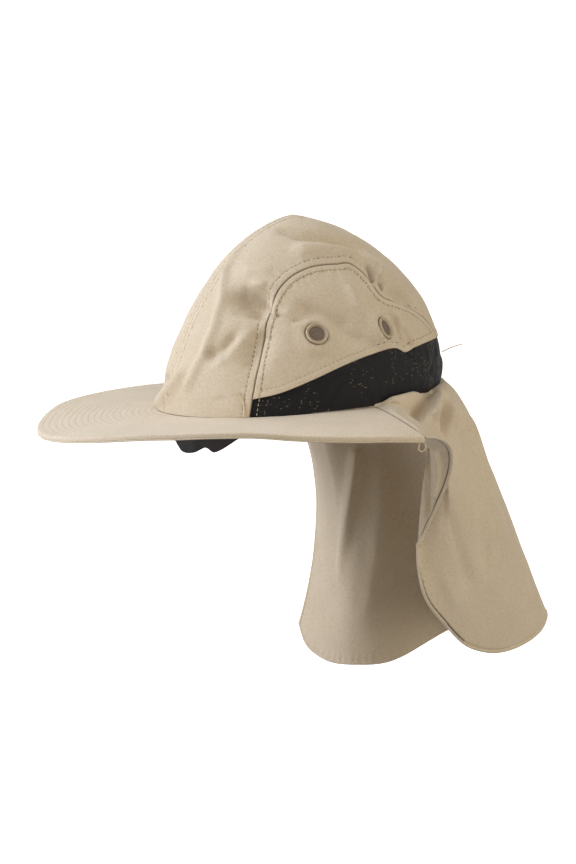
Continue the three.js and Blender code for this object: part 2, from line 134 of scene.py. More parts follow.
def bentLine(line, points, width, strength=None):  # how strongly a bent line acts on points, with soft ends
    gap = np.full(points.shape[:-1], 1e9)
    force = np.ones(points.shape[:-1])
    inside = np.zeros(points.shape[:-1])
    lengths = np.linalg.norm(np.diff(line, axis=0), axis=1)
    starts = lengthAlong(line)
    for k, (a, b) in enumerate(zip(line[:-1], line[1:])):
        reach = b - a
        share = np.clip(((points - a) @ reach) / (reach @ reach), 0, 1)
        away = np.linalg.norm(points - (a + share[..., None] * reach), axis=-1)
        nearer = away < gap
        along = starts[k] + lengths[k] * share
        inside = np.where(nearer, np.minimum(along, starts[-1] - along), inside)
        if strength is not None:
            force = np.where(nearer, strength[k] + (strength[k + 1] - strength[k]) * share, force)
        gap = np.minimum(gap, away)
    ends = foldEnds["least"] + (1 - foldEnds["least"]) * ramp(inside, 0, foldEnds["reach"] * width)
    return bell(gap, width) * force * ends


# Meshes

def finishMesh(name, verts, faces, material, uv=None, crease=50):
    mesh = bpy.data.meshes.new(name)
    mesh.from_pydata(np.asarray(verts) * mm, [], faces)
    if uv is not None:
        layer = mesh.uv_layers.new(name="seam")
        corner = np.empty(len(mesh.loops), np.int32)
        mesh.loops.foreach_get("vertex_index", corner)
        layer.data.foreach_set("uv", (np.asarray(uv, float)[corner] * mm).ravel())
    mesh.shade_smooth()
    mesh.set_sharp_from_angle(angle=math.radians(crease))
    mesh.materials.append(material)
    mesh.validate()
    piece = bpy.data.objects.new(name, mesh)
    bpy.context.scene.collection.objects.link(piece)
    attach(piece, "root")
    return piece


def gridQuads(rows, columns, start, flip):
    i, j = np.meshgrid(np.arange(rows - 1), np.arange(columns - 1), indexing="ij")
    a = (start + i * columns + j).ravel()
    quads = np.stack([a, a + 1, a + columns + 1, a + columns], 1)
    return quads[:, ::-1] if flip else quads


def clothWall(name, outer, inner, material, uv, keep=None, innerUv=None):  # a closed wall between two grids
    rows, columns = outer.shape[:2]
    count = rows * columns
    down, across = outer[1, 0] - outer[0, 0], outer[0, 1] - outer[0, 0]
    flip = np.dot(np.cross(across, down), outer[0, 0] - inner[0, 0]) < 0
    index = np.arange(count).reshape(rows, columns)
    rim = np.concatenate([index[0, :-1], index[:-1, -1], index[-1, :0:-1], index[:0:-1, 0]])
    ahead = np.roll(rim, -1)
    side = np.stack([rim, rim + count, ahead + count, ahead], 1)
    if flip:
        side = side[:, ::-1]
    top, back = gridQuads(rows, columns, 0, flip), gridQuads(rows, columns, count, not flip)
    if keep is not None:
        top, back = top[keep.ravel()[top].all(1)], back[keep.ravel()[back - count].all(1)]
    verts = np.concatenate([outer.reshape(-1, 3), inner.reshape(-1, 3)])
    faces = np.concatenate([top, back, side]).tolist()
    innerUv = uv if innerUv is None else innerUv
    return finishMesh(name, verts, faces, material, np.concatenate([uv.reshape(-1, 2), innerUv.reshape(-1, 2)]))


def gridNormals(grid):
    down = np.gradient(grid, axis=0)
    across = np.gradient(grid, axis=1)
    return unit(np.cross(across, down))


threadShape = {"sides": 5, "endShare": 0.35}    # a thread thins at its ends


def threadMesh(name, strands, radius, material):  # round threads along lists of points
    sides = threadShape["sides"]
    verts, faces = [], []
    for line in strands:
        ahead = unit(np.gradient(line, axis=0))
        spare = np.where(np.abs(ahead[:, 2:]) < 0.8, [[0.0, 0, 1]], [[1.0, 0, 0]])
        u = unit(np.cross(ahead, spare))
        v = np.cross(ahead, u)
        start = len(verts)
        last = len(line) - 1
        for k, p in enumerate(line):
            r = radius * (threadShape["endShare"] if k in (0, last) else 1)
            for s in range(sides):
                angle = 2 * math.pi * s / sides
                verts.append(p + r * (math.cos(angle) * u[k] + math.sin(angle) * v[k]))
        for k in range(last):
            for s in range(sides):
                a, b = start + k * sides + s, start + k * sides + (s + 1) % sides
                faces.append((a, b, b + sides, a + sides))
        faces.append(tuple(start + s for s in range(sides))[::-1])
        faces.append(tuple(start + last * sides + s for s in range(sides)))
    return finishMesh(name, verts, faces, material, crease=80)


def spun(profile, sides):  # verts and faces of a closed profile of radius and height turned about Z
    verts, faces = [], []
    count = len(profile)
    for s in range(sides):
        angle = 2 * math.pi * s / sides
        verts += [(r * math.cos(angle), r * math.sin(angle), z) for r, z in profile]
        for k in range(count):
            a, b = s * count + k, s * count + (k + 1) % count
            c = ((s + 1) % sides) * count
            faces.append((a, c + k, c + (k + 1) % count, b))
    return np.array(verts), faces


# Materials

def linearOf(hexColour):  # sRGB hex to the linear colour that a shader takes
    parts = [int(hexColour[k : k + 2], 16) / 255 for k in (1, 3, 5)]
    return [c / 12.92 if c <= 0.04045 else ((c + 0.055) / 1.055) ** 2.4 for c in parts] + [1.0]


def feed(node, sources):  # by input name or in order, from a socket, a node's first output or a plain value
    for key, source in sources.items() if isinstance(sources, dict) else enumerate(sources):
        if isinstance(source, bpy.types.Node):
            source = next(output for output in source.outputs if output.enabled)
        if isinstance(source, bpy.types.NodeSocket):
            node.id_data.links.new(source, node.inputs[key])
        else:
            node.inputs[key].default_value = source
    return node


def addNode(tree, kind, sources=(), settings=None):
    node = tree.nodes.new(kind)
    for key, value in (settings or {}).items():
        setattr(node, key, value)
    return feed(node, sources)


def newMaterial(name):
    material = bpy.data.materials.new(name)
    material.use_nodes = True
    return material, material.node_tree, material.node_tree.nodes["Principled BSDF"]


# Kinds of node and their settings under short names
maths, mixer, bump, mapRange = "ShaderNodeMath", "ShaderNodeMix", "ShaderNodeBump", "ShaderNodeMapRange"
noise, cellNoise, waves = "ShaderNodeTexNoise", "ShaderNodeTexVoronoi", "ShaderNodeTexWave"
place, splitter, seamMap = "ShaderNodeTexCoord", "ShaderNodeSeparateXYZ", {"uv_map": "seam"}
plus, minus, times, over = ({"operation": word} for word in ("ADD", "SUBTRACT", "MULTIPLY", "DIVIDE"))
power, root, size, fraction = ({"operation": word} for word in ("POWER", "SQRT", "ABSOLUTE", "FRACT"))
larger, above, toAndFro = ({"operation": word} for word in ("MAXIMUM", "GREATER_THAN", "PINGPONG"))
minusClamped, timesClamped = ({**sums, "use_clamp": True} for sums in (minus, times))
colours = {"data_type": "RGBA"}

nylonLook = {
    "lit": "#cbbba3",       # dyed tan yarn
    "dusty": "#c0ae91",     # slightly uneven dye, in soft patches
    "fuzzShade": "#8f7d62",  # between the short fibres that stand up
    "hole": "#4a3a28",      # shadow inside a needle hole or a tight groove
    "patch": 28 * mm,
    "fuzz": 1.6 * mm,
    "fuzzFrom": 0.42,
    "fuzzShare": 0.6,
    "yarn": 0.8 * mm,       # real yarn lies 0.35 mm apart, drawn coarser so that it shows
    "yarnWander": 1.2,
    "stitchWidth": 0.55 * mm,
    "grooveWidth": 0.8 * mm,
    "holeShare": 0.24,
    "yarnRise": 0.12,       # shares of the relief
    "fuzzRise": 0.7,
    "rowDip": 0.5,
    "relief": {"Strength": 0.6, "Distance": 0.35 * mm},
    "surface": {"Roughness": 0.85, "Sheen Weight": 0.15, "Sheen Roughness": 0.4},
}


def wovenNylon(name, holeShade, grooveShade=0.0, stitchRow=0.0, rows=0.0, shades=nylonLook):
    # Plain woven nylon, dyed and pressed: matt, a little fuzzy at grazing light, with a fine even weave.
    # The seam map gives the way along a seam and the distance across from its groove.
    # stitchRow is the distance of the stitches, and rows the spacing of quilting lines from the edge.
    look = {**nylonLook, **shades}
    lit, dusty, fuzzShade, holeColour = (linearOf(look[key]) for key in ("lit", "dusty", "fuzzShade", "hole"))
    material, tree, shader = newMaterial(name)
    spot = addNode(tree, place).outputs["Object"]
    seam = addNode(tree, splitter, [addNode(tree, "ShaderNodeUVMap", settings=seamMap)]).outputs
    patches = addNode(tree, noise, {"Vector": spot, "Scale": 1 / look["patch"], "Detail": 3.0})
    fine = addNode(tree, noise, {"Vector": spot, "Scale": 1 / look["fuzz"], "Detail": 4.0})
    tone = addNode(tree, mixer, {"Factor": patches, "A": lit, "B": dusty}, colours)
    fuzz = addNode(tree, maths, (fine, look["fuzzFrom"]), minusClamped)
    fuzz = addNode(tree, maths, (fuzz, look["fuzzShare"]), times)
    multiplied = {**colours, "blend_type": "MULTIPLY"}
    fuzzy = addNode(tree, mixer, {"Factor": fuzz, "A": tone, "B": fuzzShade}, multiplied)
    across = seam["Y"]
    if rows:
        across = addNode(tree, maths, (addNode(tree, maths, (across, rows / 2), plus), rows / 2), toAndFro)
        across = addNode(tree, maths, (across, rows / 2), minus)
    away = addNode(tree, maths, [addNode(tree, maths, (across, stitchRow), minus)], size)
    away = addNode(tree, maths, (away, look["stitchWidth"]), over)
    onLine = addNode(tree, maths, (1.0, addNode(tree, maths, (away, 2.0), power)), minusClamped)
    beat = addNode(tree, maths, [addNode(tree, maths, (seam["X"], sewing["stitchPitch"] * mm), over)], fraction)
    beat = addNode(tree, maths, [addNode(tree, maths, (beat, 0.5), minus)], size)
    hole = addNode(tree, maths, (1.0, addNode(tree, maths, (beat, look["holeShare"]), over)), minusClamped)
    pinch = addNode(tree, maths, (onLine, addNode(tree, maths, [hole], root)), timesClamped)
    # painted shade: the needle holes and the seam's groove are darkened towards the hole colour
    shade = addNode(tree, maths, (pinch, holeShade), times)
    if grooveShade:
        depth = addNode(tree, maths, (addNode(tree, maths, [across], size), look["grooveWidth"]), over)
        depth = addNode(tree, maths, (1.0, depth), minusClamped)
        shade = addNode(tree, maths, (shade, addNode(tree, maths, (depth, grooveShade), times)), larger)
    holed = addNode(tree, mixer, {"Factor": shade, "A": fuzzy, "B": holeColour}, colours)
    yarn = {"Vector": spot, "Scale": 1 / look["yarn"] / 6.28, "Distortion": look["yarnWander"]}
    warp, weft = (addNode(tree, waves, yarn, {"bands_direction": way}).outputs["Fac"] for way in ("Z", "DIAGONAL"))
    weave = addNode(tree, maths, (addNode(tree, maths, (warp, weft), plus), look["yarnRise"]), times)
    relief = addNode(tree, maths, (weave, addNode(tree, maths, (fine, look["fuzzRise"]), times)), plus)
    relief = addNode(tree, maths, (relief, addNode(tree, maths, (onLine, look["rowDip"]), times)), minus)
    relief = addNode(tree, maths, (relief, pinch), minus)
    raised = addNode(tree, bump, {"Height": relief, **look["relief"]})
    feed(shader, {"Base Color": holed, "Normal": raised, **look["surface"]})
    return material


meshLook = {
    "yarn": "#100f0f",
    # painted shade seen through the knit holes
    "gap": "#040404",
    "speck": "#9a8770",     # painted light: lit tan cloth seen through a few of the holes
    "cell": 1.5 * mm,       # knit holes about 1 mm apart, drawn a little coarser
    "holeShare": 0.42,
    "speckArea": 16 * mm,   # specks come in groups of this size, over this share of the net
    "speckAreaShare": 0.52,
    "speckFrom": 0.78,      # the fewer, the higher; the next two lines lower it towards the ends of the band
    "frontSpecks": {"From Min": -62 * mm, "From Max": -44 * mm, "To Min": 0.5, "To Max": 0.02},
    "rearSpecks": {"From Min": 44 * mm, "From Max": 70 * mm, "To Min": 0.0, "To Max": 0.32},
    "speckStrength": 0.7,
    "relief": {"Strength": 0.8, "Distance": 0.4 * mm},
    "surface": {"Roughness": 0.75, "Specular IOR Level": 0.25},
}


def knittedMesh(name):
    # Polyester net knitted in rows: near black, holes a millimetre wide, slightly shiny yarn.
    look = meshLook
    material, tree, shader = newMaterial(name)
    spot = addNode(tree, place).outputs["Object"]
    turn = addNode(tree, splitter, [addNode(tree, "ShaderNodeUVMap", settings=seamMap)]).outputs["X"]
    cells = addNode(tree, cellNoise, {"Vector": spot, "Scale": 1 / look["cell"], "Randomness": 0.25})
    hole = addNode(tree, maths, (1.0, addNode(tree, maths, (cells, look["holeShare"]), over)), minusClamped)
    # painted light: specks of lit cloth seen through the holes, in patches and more towards the band's ends
    area = addNode(tree, noise, {"Vector": spot, "Scale": 1 / look["speckArea"], "Detail": 1.0})
    often = addNode(tree, maths, (area, look["speckAreaShare"]), above)
    chance = addNode(tree, "ShaderNodeSeparateColor", [cells.outputs["Color"]])
    front, rear = (addNode(tree, mapRange, {"Value": turn, **look[key]}) for key in ("frontSpecks", "rearSpecks"))
    least = addNode(tree, maths, (addNode(tree, maths, (look["speckFrom"], front), minus), rear), minus)
    rare = addNode(tree, maths, (chance, least), above)
    lit = addNode(tree, maths, (addNode(tree, maths, (often, rare), times), hole), times)
    lit = addNode(tree, maths, (lit, look["speckStrength"]), times)
    dark = addNode(tree, mixer, {"Factor": hole, "A": linearOf(look["yarn"]), "B": linearOf(look["gap"])}, colours)
    colour = addNode(tree, mixer, {"Factor": lit, "A": dark, "B": linearOf(look["speck"])}, colours)
    sunk = addNode(tree, bump, {"Height": hole, **look["relief"]}, {"invert": True})
    feed(shader, {"Base Color": colour, "Normal": sunk, **look["surface"]})
    return material


def twoToned(name, kind, pattern, shades, surface, relief=None):  # a pattern mixes two shades and may be raised
    material, tree, shader = newMaterial(name)
    spots = addNode(tree, kind, {"Vector": addNode(tree, place).outputs["Object"], **pattern})
    light, dark = (linearOf(shade) for shade in shades)
    feed(shader, {"Base Color": addNode(tree, mixer, {"Factor": spots, "A": light, "B": dark}, colours), **surface})
    if relief:
        feed(shader, {"Normal": addNode(tree, bump, {"Height": spots, **relief})})
    return material


brimShades = {"lit": "#d5c5ad", "dusty": "#cab89c"}     # painted light: the brim is coloured lighter than the crown and the cape, for the light from above on its top

crownNylon = wovenNylon("wovenNylonCrown", holeShade=0.85, grooveShade=0.8, stitchRow=sewing["mapRow"] * mm)
brimNylon = wovenNylon("quiltedNylonBrim", holeShade=0.15, rows=sewing["quiltSpacing"] * mm, shades=brimShades)
capeNylon = wovenNylon("wovenNylonCape", holeShade=0.3, grooveShade=0.95)
blackMesh = knittedMesh("knittedPolyesterMesh")

# Brushed dark jersey of the sweatband: soft, very matt, with a short nap.
bandJersey = twoToned("brushedJersey", noise, {"Scale": 1 / (1.4 * mm), "Detail": 5.0}, ("#1b1717", "#292322"),
                      {"Roughness": 0.95, "Sheen Weight": 0.1}, {"Strength": 0.4, "Distance": 0.3 * mm})

# Stamped brass eyelet, stove painted in the cloth's tan: smooth and satin, in two tones in soft patches.
eyeletPaint = twoToned("paintedBrassEyelet", noise, {"Scale": 1 / (2.5 * mm), "Detail": 3.0},
                       ("#c4b294", "#a8967a"), {"Roughness": 0.42})

# Fine woven wire gauze behind the eyelet, painted with it: holes 0.5 mm wide, drawn at 1 mm. The holes get the
# darker tone, painted shade of the hat's inside seen through them.
gauze = twoToned("paintedWireGauze", cellNoise, {"Scale": 1 / (1.1 * mm), "Randomness": 0.35},
                 ("#4a3d34", "#83705e"), {"Roughness": 0.75}, {"Strength": 0.9, "Distance": 0.3 * mm})

# Twisted polyester thread in the cloth's tan, a little shinier than the cloth.
thread = twoToned("polyesterThread", noise, {"Scale": 1 / (0.6 * mm), "Detail": 2.0},
                  ("#d8c8a6", "#c2ad86"), {"Roughness": 0.6})
print("materials ready")


# Crown

crown = {
    "halfWidth": 85,
    "halfLength": 105,
    "height": 134,
    "roundness": 1.6,
    "lean": 7.5,
    "peakShift": 3,
    "base": 4.5,
    "thickness": 1.0,
    "topRows": 290,
    "topColumns": 104,
    "sideRows": 84,
    "sideColumns": 190,
    "crowding": 0.72,       # rows of points stand closer beside the seams
    "rowPower": 1.6,
    "lumps": [(0.55, 22, 1, 3), (0.25, 9, 1, 5)],
}

# Turn and height
sideSeam = [
    (-40, 4.5), (-40, 16.4), (-39.7, 43.5), (-38.6, 66), (-35.5, 84), (-28.5, 94.6), (-20.8, 99.1), (-8, 101.9),
    (4, 101.7), (14.2, 100.6), (20, 91), (22.5, 78), (31.5, 71.5), (46, 61), (58, 41.4),
]
seamStretches = [1, 4, 9, 14]   # rows of the side seam at the side panel's foot, its two corners and its rear
meshTop = [
    (-40, 16.4), (-29.3, 19.8), (-18, 26.4), (-4.1, 35), (7.1, 39.8),
    (20, 42), (26.5, 38), (35, 40.3), (50, 41.5), (90, 41),
]
frontTurn, meshFront, seamEnd = -90, sideSeam[0][0], sideSeam[-1][0]

# Folds of the soft crown on the left side: name, width, rise, the line's turns and heights, and the strength
# at each of its points where that changes. A positive rise is a ridge and a negative one a hollow.
crownFolds = [
    ("peak", 6, 1.2, [(-90, 133.5), (90, 133.5)]),
    ("hollow of the temple", 8, -15,
     [(-67, 88.5), (-60, 86), (-53, 82.5), (-47, 80), (-41.5, 77), (-36, 73.5)], (0.1, 0.5, 0.85, 1, 1, 0.3)),
    ("upper temple crease", 4, -5, [(-61, 91), (-52, 89.5), (-44, 85), (-39, 80.5)], (0.2, 0.8, 1, 1)),
    ("lower temple crease", 3, -3.2, [(-61, 75), (-53.5, 74), (-44, 72.5), (-38.5, 71)], (0, 0.6, 1, 1)),
    ("temple ridge", 4, 3.6, [(-63, 89), (-50, 91), (-39.5, 90.5)], (0.2, 1, 1)),
    ("ridge over the temple", 4.5, 1.6, [(-63.2, 98.5), (-50.5, 101), (-37.2, 100.5)]),
    ("ridge beside the front seam", 4, 3,
     [(-87.2, 116.9), (-81, 100.5), (-68.5, 82), (-66.5, 63.5), (-68.5, 47.5), (-72.5, 30), (-76, 19)],
     (0.3, 1, 1, 1, 1, 0.8, 0.2)),
    ("seam crease 1", 1.7, -1.8, [(-36.5, 73.3), (-41, 80.6), (-44.8, 85.1)], (1, 0.9, 0)),
    ("seam crease 2", 1.4, -1.6, [(-36.5, 73.8), (-41.8, 78.1)], (1, 0.2)),
    ("slanting valley", 5, -4.6, [(-51, 62.1), (-58.2, 49.1), (-68, 43.3)]),
    ("slanting ridge", 4, 2, [(-48.2, 58.8), (-54.5, 46.6), (-60.2, 40.3)]),
    ("valley before the seam", 8.5, -6.5, [(-38.5, 69), (-39.5, 58.5), (-41.5, 48), (-43, 38.5), (-44.5, 30)],
     (0.5, 1, 1, 0.8, 0.4)),
    ("base crease", 2.2, -1.1, [(-59, 16.5), (-53, 16.8), (-47.2, 13.3)], (0.2, 1, 0.3)),
    ("roll over the bill", 5.5, 3.6, [(-78.5, 36.8), (-87, 21), (-98, 10), (-116, 7)]),
    ("notch over the bill", 4, -4, [(-92, 26), (-112, 21)]),
    ("hollow behind the peak", 5.5, -9.5,
     [(-58.5, 126.4), (-14.8, 122.6), (13, 116.6), (30.5, 111.6), (39.5, 104.1)], (0, 0.8, 1, 1, 0)),
    ("roll over the seam", 7.5, 5, [(-30.2, 108.9), (-16.2, 111.9), (7.2, 112.1), (26, 109.1), (32.8, 102.6)],
     (0.3, 1, 1, 1, 0.3)),
    ("first pleat", 2.2, -9, [(31, 101.5), (26, 94.5), (22, 86.5)], (0.2, 1, 0.7)),
    ("second pleat", 2.2, -8, [(29, 88.5), (26.5, 82)]),
    ("ridge between the pleats", 2.5, 4, [(38, 101.4), (35.5, 95.9), (27.5, 88.6)]),
    ("rear bulge", 6, 4, [(33, 98), (39.5, 91.5), (48, 85.5)], (0.3, 1, 0.2)),
    ("rear hollow", 5.5, -7, [(29, 80.5), (37.5, 75), (46, 67.5)]),
    ("crease to the front vent", 2.2, -2.6, [(-35, 73), (-30, 70), (-26.5, 67), (-22, 66.5), (-18.5, 65)],
     (1, 0.8, 1, 1, 0.3)),
    ("side crease 1", 1.4, -1, [(-35.8, 76.6), (-32, 74.3)]),
    ("side crease 2", 1.4, -1, [(-35.5, 73.3), (-32, 70.6)]),
    ("side ridge", 2, 1, [(-31, 73.6), (-26.2, 73.3)]),
    ("ridge before the front vent", 2.2, 0.8, [(-22.5, 65.1), (-22, 55.3)]),
    ("hollow over the front vent", 7.5, -5.5, [(-27, 80), (-20, 74), (-12, 67.5), (-4, 61), (2, 53)],
     (0.2, 1, 1, 1, 0.3)),
    ("long side ridge", 4, 3, [(4.8, 88.8), (6, 74.6), (11.8, 62.3), (16.2, 51.3), (20.5, 42)]),
    ("hollow before the ridge", 6, -3.6, [(-4.8, 55.6), (1.8, 51.8), (7.5, 46.8)]),
    ("valley behind the vent", 3, -4.5, [(24, 62.8), (25.5, 50.6), (28.8, 40.3)]),
    ("fan ridge 1", 2.2, 2.6, [(18, 64.5), (20.5, 52.5), (24, 41)]),
    ("fan ridge 2", 2, 2.2, [(26.5, 65.5), (28, 54), (32, 43)]),
    ("dark pleat", 2.2, -5, [(28.5, 55), (30.5, 47), (32, 40.5)]),
    ("last ridge", 2, 1, [(41, 47.8), (34, 41.8)]),
]

# The right side repeats them shallower, from a distance off the middle
rightFolds = {"share": 0.5, "from": 28, "whole": 60}


def onDisc(turn, height):
    radius = 2 / math.pi * np.arccos(np.clip(np.asarray(height) / crown["height"], -1, 1))
    angle = np.radians(turn)
    return np.stack([radius * np.cos(angle), radius * np.sin(angle)], -1)


def domePoint(disc):
    radius = np.hypot(disc[..., 0], disc[..., 1])
    angle = np.arctan2(disc[..., 1], disc[..., 0])
    spread = np.abs(np.sin(math.pi / 2 * radius)) ** (2 / crown["roundness"])
    height = crown["height"] * np.cos(math.pi / 2 * radius)
    level = np.maximum(height / crown["height"], 0)
    lean = crown["peakShift"] * level + 4 * crown["lean"] * level * (1 - level)
    x = crown["halfWidth"] * spread * np.cos(angle)
    y = lean + crown["halfLength"] * spread * np.sin(angle)
    return np.stack([x, y, height], -1)


def slopes(surface, disc, step):  # how a surface moves across and along its disc, over two steps
    return [surface(disc + way) - surface(disc - way) for way in (np.array([step, 0]), np.array([0, step]))]


def normalOf(surface, disc, step=0.004):
    return unit(np.cross(*slopes(surface, disc, step)))


def onDome(line):
    return np.array([domePoint(onDisc(*p)) for p in line])


def foldRise(points):
    far = rightFolds["share"] * ramp(-points[..., 0], rightFolds["from"], rightFolds["whole"])
    rise = np.zeros(points.shape[:-1])
    for _, width, height, line, *strength in crownFolds:
        line = onDome(line)
        left, right = (bentLine(line, spots, width, *strength) for spots in (points, points * [-1, 1, 1]))
        rise += height * (left + far * right)
    return rise


def clothPoint(disc):
    base = domePoint(disc)
    lift = foldRise(base) + softLumps(base, crown["lumps"])
    return base + normalOf(domePoint, disc) * lift[..., None]


def seamPoint(row):  # a smooth curve through the seam's rows
    points = np.array([onDisc(*p) for p in sideSeam])
    last = len(points) - 1
    k = np.clip(np.floor(row).astype(int), 0, last - 1)
    s = (row - k)[..., None]
    p0, p1 = points[np.maximum(k - 1, 0)], points[k]
    p2, p3 = points[k + 1], points[np.minimum(k + 2, last)]
    v0, v1 = (p2 - p0) / 2, (p3 - p1) / 2
    return (2 * p1 - 2 * p2 + v0 + v1) * s**3 + (-3 * p1 + 3 * p2 - 2 * v0 - v1) * s**2 + v0 * s + p1


def alongCurve(curve, low, high, shares):  # points at shares of the length along a curve
    t = np.linspace(low, high, 600)
    arc = lengthAlong(domePoint(curve(t)))
    return curve(np.interp(shares * arc[-1], arc, t))


def meshTopDisc(turn):
    return onDisc(turn, smoothRows(meshTop, turn))


def centreDisc(share):  # the middle seam from the front over the peak to the back
    front, back = onDisc(frontTurn, crown["base"]), meshTopDisc(90)
    return front + (back - front) * np.asarray(share)[..., None]


def crowded(count):  # steps from 0 to 1 that are closest at both ends
    t = np.linspace(0, 1, count)
    return t - crown["crowding"] * np.sin(2 * math.pi * t) / (2 * math.pi)


def patchBetween(front, back, inner, outer, u, v):  # the four edges' points, and where they lie from 0 to 1
    u, v = u[None, :, None], v[:, None, None]
    edges = (1 - v) * front[None] + v * back[None] + (1 - u) * inner[:, None] + u * outer[:, None]
    corners = (1 - u) * (1 - v) * front[0] + u * (1 - v) * front[-1] + (1 - u) * v * back[0] + u * v * back[-1]
    return edges - corners


seamRelief = {
    "topStitchAt": 5.4,     # rows of stitches either side of the groove
    "sideStitchAt": 4.8,
    "bandRise": 0.5,
    "bandEdge": (-1, 0.8),  # from the row of stitches
    "grooveWidth": 0.6,
    "grooveDepth": 1.2,
    "stitchDip": 0.35,
    "dipWidth": 0.7,
    "puckerFrom": -2.5,
    "puckerReach": 5,
    "puckerDepth": 0.32,
    "puckerPitch": 7.5,
    "puckerWander": [(2.5, 15, 1, 8)],
    "stitchPull": 0.35,
    "middleShare": 0.45,    # the middle seam lies flatter
    "hemAt": 4.7,
    "hemRise": 0.35,
    "hemEdge": (-0.9, 0.7),
    "hemDip": 0.25,
    "innerShare": 0.6,      # the inside of the cloth follows the seams less
}


def reliefBeside(gap, along, points, stitchAt):  # height of the cloth beside a double-stitched seam
    s = seamRelief
    band = s["bandRise"] * (1 - ramp(gap, *(stitchAt + edge for edge in s["bandEdge"])))
    groove = -s["grooveDepth"] * bell(gap, s["grooveWidth"])
    dip = -s["stitchDip"] * bell(gap - stitchAt, s["dipWidth"])
    beat = np.sin(2 * math.pi * along / s["puckerPitch"] + softLumps(points, s["puckerWander"]))
    beat += s["stitchPull"] * np.sin(2 * math.pi * along / sewing["stitchPitch"])
    fade = ramp(gap, stitchAt + s["puckerFrom"], stitchAt)
    fade = fade * np.exp(-np.maximum(gap - stitchAt, 0) / s["puckerReach"])
    return band + groove + dip + s["puckerDepth"] * beat * fade


def lineOf(curve, low, high, side):
    disc = curve(np.linspace(low, high, 900))
    return clothPoint(disc * [side, 1])


vent = {
    "outer": 7.8,
    "crest": 7,
    "bore": 5.6,
    "hole": 6.9,
    "rise": 1.3,
    "depth": 2.4,
    "places": [("Front", "front", -15.2, 57.8), ("Rear", "rear", 17.4, 56.2)],
    "rearTurn": 18,         # the cloth falls away behind the rear vent on the left side
    "flat": (9.5, 18),      # the cloth lies flat up to the first distance and is free from the second
    "press": {"depth": 1.1, "at": 0.6, "width": 0.7},
    "groove": 0.3,          # painted shade: a dark line this far outside the rim, where the rim presses the cloth
    "grooveReach": 2,
    "sides": 64,
    "screenSides": 48,
    "screen": {"gap": 0.1, "bulge": 0.3, "thickness": 0.5, "rows": 8},
}


def ventPlaces(side):
    places = []
    for word, _, turn, height in vent["places"]:
        disc = onDisc(turn, height) * [side, 1]
        centre = clothPoint(disc[None])[0]
        axis = normalOf(clothPoint, disc[None], 0.05)[0]
        if word == "Rear" and side > 0:
            axis = np.array(Matrix.Rotation(math.radians(vent["rearTurn"]), 3, "Z") @ Vector(axis))
        places.append((centre, axis))
    return places


def panelWall(name, disc, seams, hem, vents, stitchAt):
    base = clothPoint(disc)
    normal = normalOf(clothPoint, disc)
    mapRow, hemAt, press = sewing["mapRow"], seamRelief["hemAt"], vent["press"]
    gap, along = nearestSeam(seams, base)
    middle = nearestOn(seams[0], base)[0] > gap + 0.5
    lift = reliefBeside(gap, along, base, stitchAt) * np.where(middle, seamRelief["middleShare"], 1)
    hemGap, hemAlong = nearestOn(hem, base)
    lift += seamRelief["hemRise"] * (1 - ramp(hemGap, *(hemAt + edge for edge in seamRelief["hemEdge"])))
    lift -= seamRelief["hemDip"] * bell(hemGap - hemAt, seamRelief["dipWidth"])
    closeToHem = hemGap - hemAt < gap - stitchAt
    across = np.where(closeToHem, mapRow + hemGap - hemAt, gap * mapRow / stitchAt)
    across = np.where(middle, sewing["unmapped"], across)
    uv = np.stack([np.where(closeToHem, hemAlong, along), across], -1)
    outer = base + normal * lift[..., None]
    inner = base + normal * (lift * seamRelief["innerShare"] - crown["thickness"])[..., None]
    shown = None
    for centre, axis in vents:
        away = np.linalg.norm(base - centre, axis=-1)
        nearVent = (1 - ramp(away, *vent["flat"]))[..., None]
        pressed = -press["depth"] * bell(away - vent["outer"] - press["at"], press["width"])
        onPlane = base + ((centre - base) @ axis + pressed)[..., None] * axis
        outer = outer * (1 - nearVent) + onPlane * nearVent
        inner = inner * (1 - nearVent) + (onPlane - crown["thickness"] * axis) * nearVent
        # painted shade: the seam map draws a dark groove line round each vent's rim
        fromRim = away - vent["outer"] - vent["groove"]
        uv[..., 1] = np.where(fromRim < vent["grooveReach"], fromRim, uv[..., 1])
    if vents:
        shown = np.all([np.linalg.norm(outer - c, axis=-1) > vent["hole"] for c, _ in vents], axis=0)
    return clothWall(name, outer, inner, crownNylon, uv, shown)


def crownPanels(word, side):
    low, left, right, last = seamStretches
    seam = lineOf(seamPoint, 0, last, side)
    rows, columns = np.linspace(0, 1, crown["topRows"]), crowded(crown["topColumns"])
    outer = alongCurve(seamPoint, 0, last, rows)
    inner = alongCurve(centreDisc, 0, 1, rows)
    front = onDisc(frontTurn + (meshFront - frontTurn) * columns, crown["base"])
    back = meshTopDisc(90 + (seamEnd - 90) * columns)
    disc = patchBetween(front, back, inner, outer, columns, rows) * [side, 1]
    rear = lineOf(meshTopDisc, seamEnd, 90, side)
    seams = [seam, lineOf(centreDisc, 0, 1, 1)]
    top = panelWall(f"crownTop{word}", disc, seams, rear, [], seamRelief["topStitchAt"])
    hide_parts(f"crown_top_{word.lower()}")
    rows = 1 - (1 - np.linspace(0, 1, crown["sideRows"])) ** crown["rowPower"]
    columns = crowded(crown["sideColumns"])
    frontEdge = alongCurve(seamPoint, low, left, rows)
    rearEdge = alongCurve(seamPoint, last, right, rows)
    upper = alongCurve(seamPoint, left, right, columns)
    lower = alongCurve(meshTopDisc, meshFront, seamEnd, columns)
    disc = patchBetween(lower, upper, frontEdge, rearEdge, columns, rows) * [side, 1]
    hem = lineOf(meshTopDisc, meshFront, seamEnd, side)
    panel = panelWall(f"crownSide{word}", disc, [seam], hem, ventPlaces(side), seamRelief["sideStitchAt"])
    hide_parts(f"crown_side_{word.lower()}")


for sideName, sideSign in wearerSides:
    crownPanels(sideName, sideSign)
print("crown panels sewn")


# Vents

